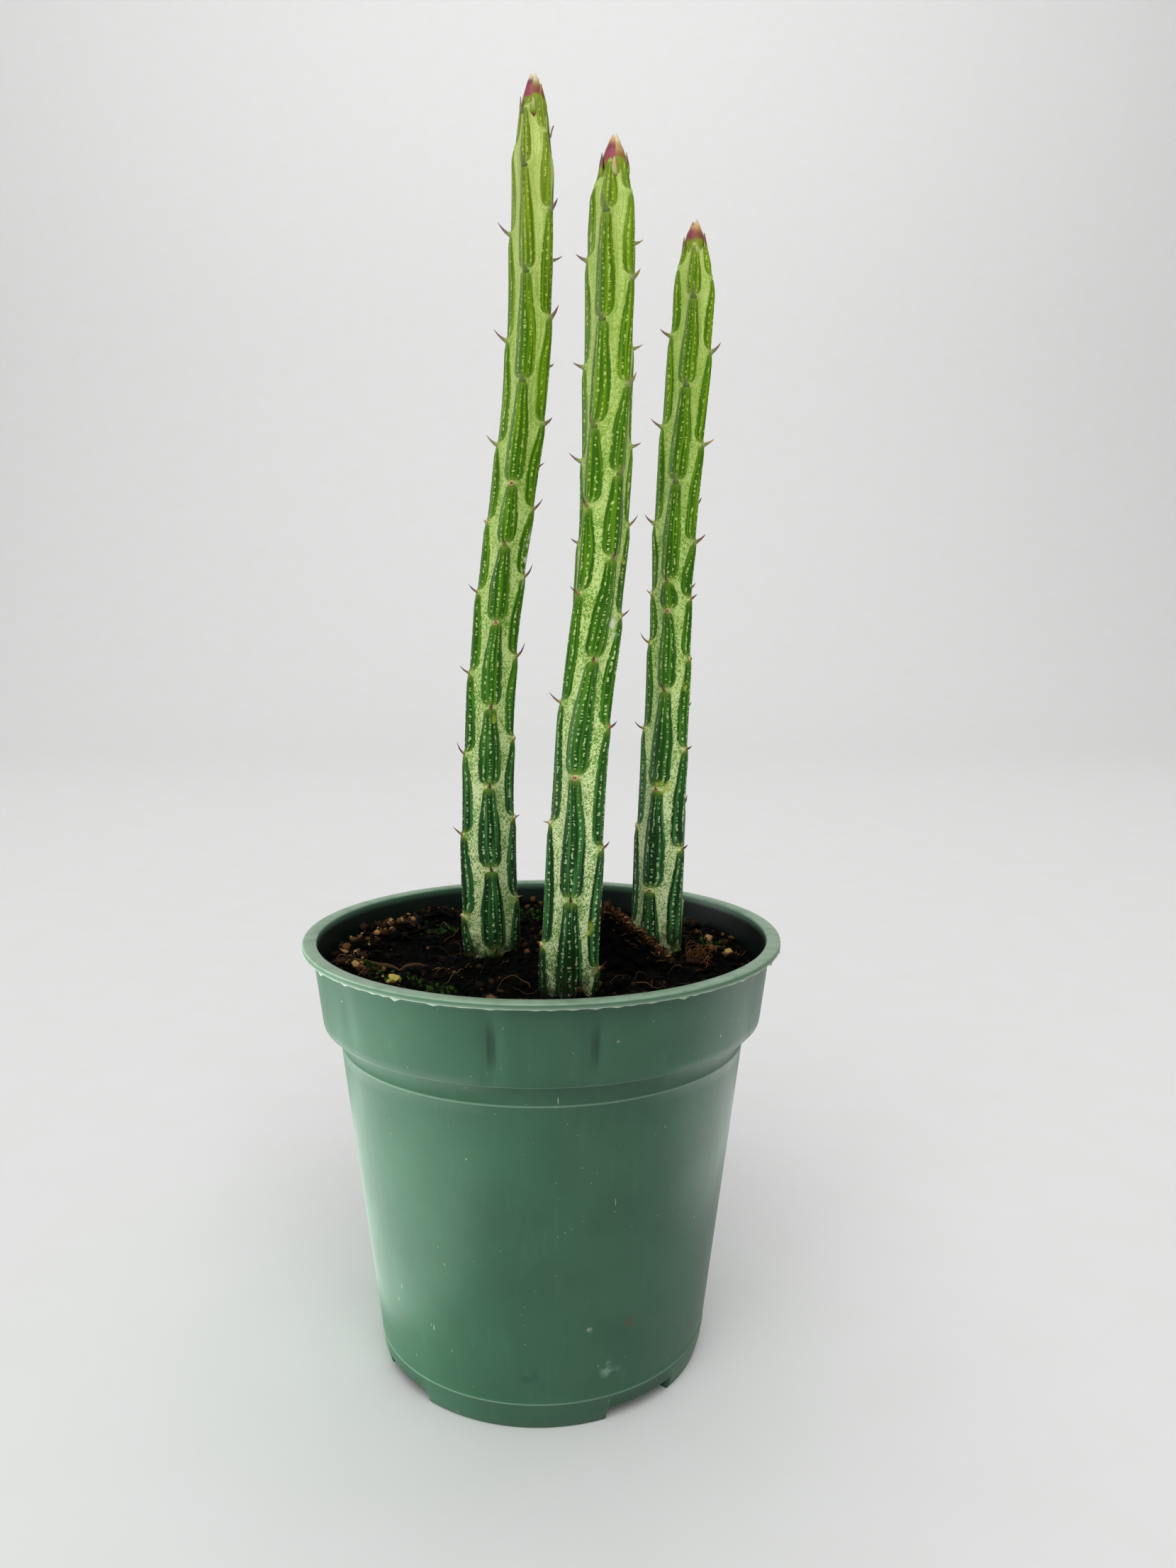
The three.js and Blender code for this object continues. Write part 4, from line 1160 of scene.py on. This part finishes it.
def toned_material(name, roughness, grain_mm, grain_depth_mm, contrast=0.5, shine=0.4):
    """A finish whose base colour is on the piece, broken up by a grain of a stated size."""
    m = new_material(name)
    place = add(m, COORDINATES, out="Object")
    tone = add(m, ATTRIBUTE, {"attribute_name": "tone"}, out="Color")
    grain = add(m, NOISE, None, {"Vector": place, "Scale": PER_METRE / grain_mm, "Detail": 4.0})
    shade = add(m, FADE, None, (grain, 0, 1, 1 - contrast, 1 + contrast * 0.8))
    shaded = add(m, MIX, TINTED, {0: 1.0, 6: tone, 7: shade}, out=2)
    bump = add(m, BUMP, None, {"Height": grain, "Strength": 0.7, "Distance": grain_depth_mm * MM})
    rough = add(m, FADE, None, (grain, 0, 1, roughness - 0.08, roughness + 0.08))
    shader = add(m, PRINCIPLED, None, {"Base Color": shaded, "Roughness": rough, "Normal": bump,
                                       "Specular IOR Level": shine})
    add(m, OUTPUT, None, {"Surface": shader})
    return m


# Marks on the pot: azimuth, height, radius in millimetres, colour, strength.
POT_MARKS = (
    (27.3, 24.2, 2.2, "5E5138", 0.7), (21.0, 13.8, 3.2, "8FAA98", 0.55),
    (-4.6, 13.7, 3.0, "2C5140", 0.6), (13.4, 24.5, 1.2, "B9C6B4", 0.7),
    (36.5, 25.5, 1.0, "B9C6B4", 0.7),
)
# The collar's wall leans out by this much for each millimetre of height.
COLLAR_LEAN = COLLAR_TAPER / (LIP_UNDERSIDE - COLLAR_BASE)
COLLAR_WALL_MIDDLE = COLLAR_BASE_RADIUS - WALL / 2 - COLLAR_BASE * COLLAR_LEAN


def pot_material():
    """Injection-moulded polypropylene: satin, faintly mottled, with scuffs, dust and a paler
    flash."""
    m = new_material("green_moulded_polypropylene")
    place = add(m, COORDINATES, out="Object")
    up = add(m, SEPARATE, None, (place,), out=2)
    height = add(m, MATH, TIMES, (up, PER_METRE))
    stretched = add(m, MAPPING, None, {"Vector": place, "Scale": (1.0, 1.0, 0.12)})
    slanted = add(m, MAPPING, None, {"Vector": place, "Rotation": (0.3, 0.5, 0.2),
                                     "Scale": (1.0, 1.0, 0.05)})
    flow, streak, speck, scratch, ragged, dust, orange_peel = (
        add(m, NOISE, None, {"Vector": laid, "Scale": scale * PER_METRE, "Detail": detail})
        for laid, scale, detail in (
            (place, 0.06, 3.0), (stretched, 0.5, 4.0), (place, 0.9, 3.0), (slanted, 1.2, 1.0),
            (place, 0.4, 4.0), (place, 0.25, 5.0), (place, 0.35, 2.0)))

    # Colours laid one over the other: drawn streaks, specks of soil, scratches, then the marks.
    coats = [
        (add(m, FADE, SMOOTH, (streak, 0.55, 0.8, 0, 0.06)), "7A9C88"),
        (add(m, FADE, SMOOTH, (speck, 0.725, 0.755, 0, 0.75)), "A8A084"),
        (add(m, FADE, SMOOTH, (scratch, 0.81, 0.83, 0, 0.5)), "C2CFC0"),
    ]
    broken = add(m, FADE, SMOOTH, (ragged, 0.42, 0.6))
    for azimuth, rise, radius, tint, strength in POT_MARKS:
        spot = (outward(azimuth) * body_radius(rise) + Vector((0, 0, rise))) * MM
        away = add(m, VECTOR_MATH, {"operation": "DISTANCE"}, (place, spot), out="Value")
        near = add(m, FADE, SMOOTH, (away, radius * MM, radius * 0.3 * MM, 0, strength))
        coats.append((add(m, MATH, TIMES, (near, broken)), tint))

    # Inside, the wall above the shelf is painted near-black teal: partly wet soil on it and partly
    # painted shade.
    level = add(m, VECTOR_MATH, TIMES, (place, (PER_METRE, PER_METRE, 0.0)))
    radius = add(m, VECTOR_MATH, {"operation": "LENGTH"}, (level,), out="Value")
    wall_middle = add(m, MATH, {"operation": "MULTIPLY_ADD"},
                      (height, COLLAR_LEAN, COLLAR_WALL_MIDDLE))
    within = add(m, FADE, SMOOTH, (add(m, MATH, MINUS, (radius, wall_middle)), 0.2, -0.2))
    for fade in ((height, POT_HEIGHT - 0.3, POT_HEIGHT - 2.4, 0, 0.95),
                 (height, SHELF - 1.5, SHELF)):
        within = add(m, MATH, TIMES, (within, add(m, FADE, SMOOTH, fade)))
    coats.append((within, "04120F"))

    # Dust on the rim, whose top is also painted paler all over as painted light; paler lines along
    # the mould lines and the collar's foot; and a paler flash of plastic below the lip.
    on_top = add(m, FADE, SMOOTH, (height, POT_HEIGHT - 0.6, POT_HEIGHT - 0.05, 0, 0.65))
    on_top = add(m, MATH, TIMES, (on_top, add(m, FADE, SMOOTH, (dust, 0.2, 0.6, 0.55))))
    coats.append((on_top, "A6BEA6"))
    # Paler lines along the two mould lines and along the collar's foot.
    for line in (*MOULD_LINES, COLLAR_BASE):
        off_line = add(m, MATH, SIZE_OF, (add(m, MATH, MINUS, (height, line)),))
        coats.append((add(m, FADE, SMOOTH, (off_line, 0.35, 0.08, 0, 0.28)), "A9C4AC"))
    coats.append((add(m, ATTRIBUTE, {"attribute_name": "flash"}, out="Fac"), "CCDCC8"))

    mottle = add(m, FADE, SMOOTH, (flow, 0.2, 0.8))
    colour = add(m, MIX, OVER, {0: mottle, 6: "355C46", 7: "3C664E"}, out=2)
    for mask, tint in coats:
        colour = add(m, MIX, OVER, {0: mask, 6: colour, 7: tint}, out=2)
    rough = add(m, FADE, None, (streak, 0, 1, 0.32, 0.44))
    bump = add(m, BUMP, None, {"Height": orange_peel, "Strength": 0.25, "Distance": 0.06 * MM})
    shader = add(m, PRINCIPLED, None, {"Base Color": colour, "Roughness": rough, "Normal": bump,
                                       "IOR": 1.49})
    add(m, OUTPUT, None, {"Surface": shader})
    return m


def peat_bed_material():
    """Damp sphagnum peat: near black and matt, with brown crumbs and a few pale grains."""
    m = new_material("damp_peat")
    place = add(m, COORDINATES, out="Object")
    clod = add(m, NOISE, None, {"Vector": place, "Scale": 0.35 * PER_METRE, "Detail": 6.0})
    crumb = add(m, NOISE, None, {"Vector": place, "Scale": 1.4 * PER_METRE, "Detail": 4.0})
    stops = [(0.35, "020202"), (0.55, "050504"), (0.68, "120D08"), (0.8, "2C1E10")]
    colour = add(m, RAMP, {"stops": stops}, (crumb,))
    mossy = add(m, FADE, SMOOTH, (clod, 0.52, 0.68, 0, 0.6))
    colour = add(m, MIX, OVER, {0: mossy, 6: colour, 7: "0A1208"}, out=2)
    bump = add(m, BUMP, None, {"Height": crumb, "Strength": 0.9, "Distance": 0.4 * MM})
    shader = add(m, PRINCIPLED, None, {"Base Color": colour, "Normal": bump, "Roughness": 0.95,
                                       "Specular IOR Level": 0.06})
    add(m, OUTPUT, None, {"Surface": shader})
    return m


def paper_material():
    """A matt white studio paper roll: even and very faintly fibrous."""
    m = new_material("white_studio_paper")
    place = add(m, COORDINATES, out="Object")
    pulp = add(m, NOISE, None, {"Vector": place, "Scale": 40.0, "Detail": 3.0})
    colour = add(m, MIX, OVER, {0: pulp, 6: "E8E8E7", 7: "EBEBEB"}, out=2)
    shader = add(m, PRINCIPLED, None, {"Base Color": colour, "Roughness": 1.0,
                                       "Specular IOR Level": 0.0})
    add(m, OUTPUT, None, {"Surface": shader})
    return m


# ---- Stage, light and camera ----

SWEEP_START = 1.4
SWEEP_RADIUS = 0.8


def studio_paper(material):
    """A pale floor that sweeps up into a backdrop far behind the plant."""
    bm = bmesh.new()
    bmesh.ops.create_grid(bm, x_segments=8, y_segments=90, size=6.0)
    for vert in bm.verts:
        x, y, _ = vert.co
        past = max(0.0, y - SWEEP_START)
        angle = min(past / SWEEP_RADIUS, pi / 2)
        rise = max(0.0, past - SWEEP_RADIUS * pi / 2)
        vert.co = (x, min(y, SWEEP_START) + SWEEP_RADIUS * sin(angle),
                   SWEEP_RADIUS * (1 - cos(angle)) + rise)
    obj = mesh_object("studio_paper", bm)
    obj.data.materials.append(material)


def soft_light(name, place, aim, width, height, power, gloss_only=False):
    """A rectangular softbox. A gloss-only one shows in shiny surfaces and lights nothing else."""
    light = bpy.data.lights.new(name, "AREA")
    light.shape = "RECTANGLE"
    light.size = width
    light.size_y = height
    light.energy = power
    obj = bpy.data.objects.new(name, light)
    obj.location = place
    obj.rotation_euler = (Vector(aim) - Vector(place)).to_track_quat("-Z", "Y").to_euler()
    obj.visible_camera = False
    obj.visible_diffuse = not gloss_only
    bpy.context.scene.collection.objects.link(obj)
    return obj


def light_only(light, lit):
    """Keeps a light to a few pieces, as a flag on a stand does."""
    lit_pieces = bpy.data.collections.new(light.name + "_lights")
    for obj in lit:
        lit_pieces.objects.link(obj)
    light.light_linking.receiver_collection = lit_pieces


def room_light(strength):
    """An even white light from all round."""
    world = bpy.data.worlds.new("soft_room")
    world.use_nodes = True
    background = world.node_tree.nodes["Background"]
    background.inputs["Color"].default_value = (1.0, 1.0, 1.0, 1.0)
    background.inputs["Strength"].default_value = strength
    bpy.context.scene.world = world


CAMERA_PLACE = (0.0, -0.2777, 0.17606)
CAMERA_YAW = 0.0388887
CAMERA_PITCH = 0.132084
CAMERA_ROLL = 0.0043639
CAMERA_LENS = 26.87
ROOM_STRENGTH = 0.43
VIEW_GAMMA = 0.87


def camera():
    """The view from the front: a little above the rim, level to within a quarter of a degree."""
    data = bpy.data.cameras.new("camera")
    data.lens = CAMERA_LENS
    data.sensor_width = 36.0
    data.clip_start = 0.01
    obj = bpy.data.objects.new("camera", data)
    ahead = Vector((sin(CAMERA_YAW) * cos(CAMERA_PITCH),
                    cos(CAMERA_YAW) * cos(CAMERA_PITCH), -sin(CAMERA_PITCH)))
    level = Vector((cos(CAMERA_YAW), -sin(CAMERA_YAW), 0.0))
    rise = level.cross(ahead)
    right = level * cos(CAMERA_ROLL) + rise * sin(CAMERA_ROLL)
    up = rise * cos(CAMERA_ROLL) - level * sin(CAMERA_ROLL)
    turn = Matrix((right, up, -ahead)).transposed().to_4x4()
    obj.matrix_world = Matrix.Translation(CAMERA_PLACE) @ turn
    bpy.context.scene.collection.objects.link(obj)
    bpy.context.scene.camera = obj


# ---- Assembly ----

pot = make_pot(pot_material())
peat = toned_material("peat_crumb", 0.9, 0.9, 0.25, 0.5, 0.08)
bark = toned_material("weathered_pine_bark", 0.88, 0.8, 0.3, 0.6, 0.1)
coir = toned_material("coir_strands", 0.8, 0.5, 0.05, 0.3, 0.3)
crumb_finish = toned_material("dried_crumb", 0.85, 0.6, 0.15, 0.35, 0.3)
leaf_finish = toned_material("succulent_leaf_skin", 0.5, 0.5, 0.05, 0.25, 0.45)
make_soil(peat_bed_material())
peat_crumbs(peat)
bark_strips(bark)
moss(peat)
soil_fibres(coir)
bark_chip(bark)
fibre_clump(coir)
loose_crumbs(crumb_finish)
skin = stem_material()
for stem in STEMS:
    stem_skin(stem, skin)
    stem_leaves(stem, leaf_finish)
    bud(stem, leaf_finish)

studio_paper(paper_material())
room_light(ROOM_STRENGTH)
soft_light("front_key", (-0.1, -1.3, 1.5), (0.0, 0.0, 0.1), 2.0, 1.4, 22.0)
soft_light("overhead", (0.0, -0.3, 1.8), (0.0, 0.0, 0.0), 2.4, 2.0, 6.0)
soft_light("backdrop_wash", (0.0, 0.7, 1.9), (0.0, 2.2, 0.9), 2.4, 0.4, 14.0)
side_window = soft_light("side_window", (-0.8, 0.02, 0.05), (0.0, 0.0, 0.05), 0.9, 0.1, 11.5)
side_window.visible_glossy = False
light_only(side_window, [pot])
soft_light("left_sheen", (-0.9, 0.3, 0.45), (0.0, 0.0, 0.15), 0.5, 0.7, 3.0, True)
soft_light("low_left_sheen", (-0.15, 0.0, 0.003), (-0.15, 0.0, 1.0), 0.2, 0.22, 0.18, True)
soft_light("low_right_sheen", (0.19, 0.04, 0.003), (0.19, 0.04, 1.0), 0.2, 0.16, 0.1, True)
camera()
bpy.context.scene.view_settings.view_transform = "Standard"
bpy.context.scene.view_settings.gamma = VIEW_GAMMA
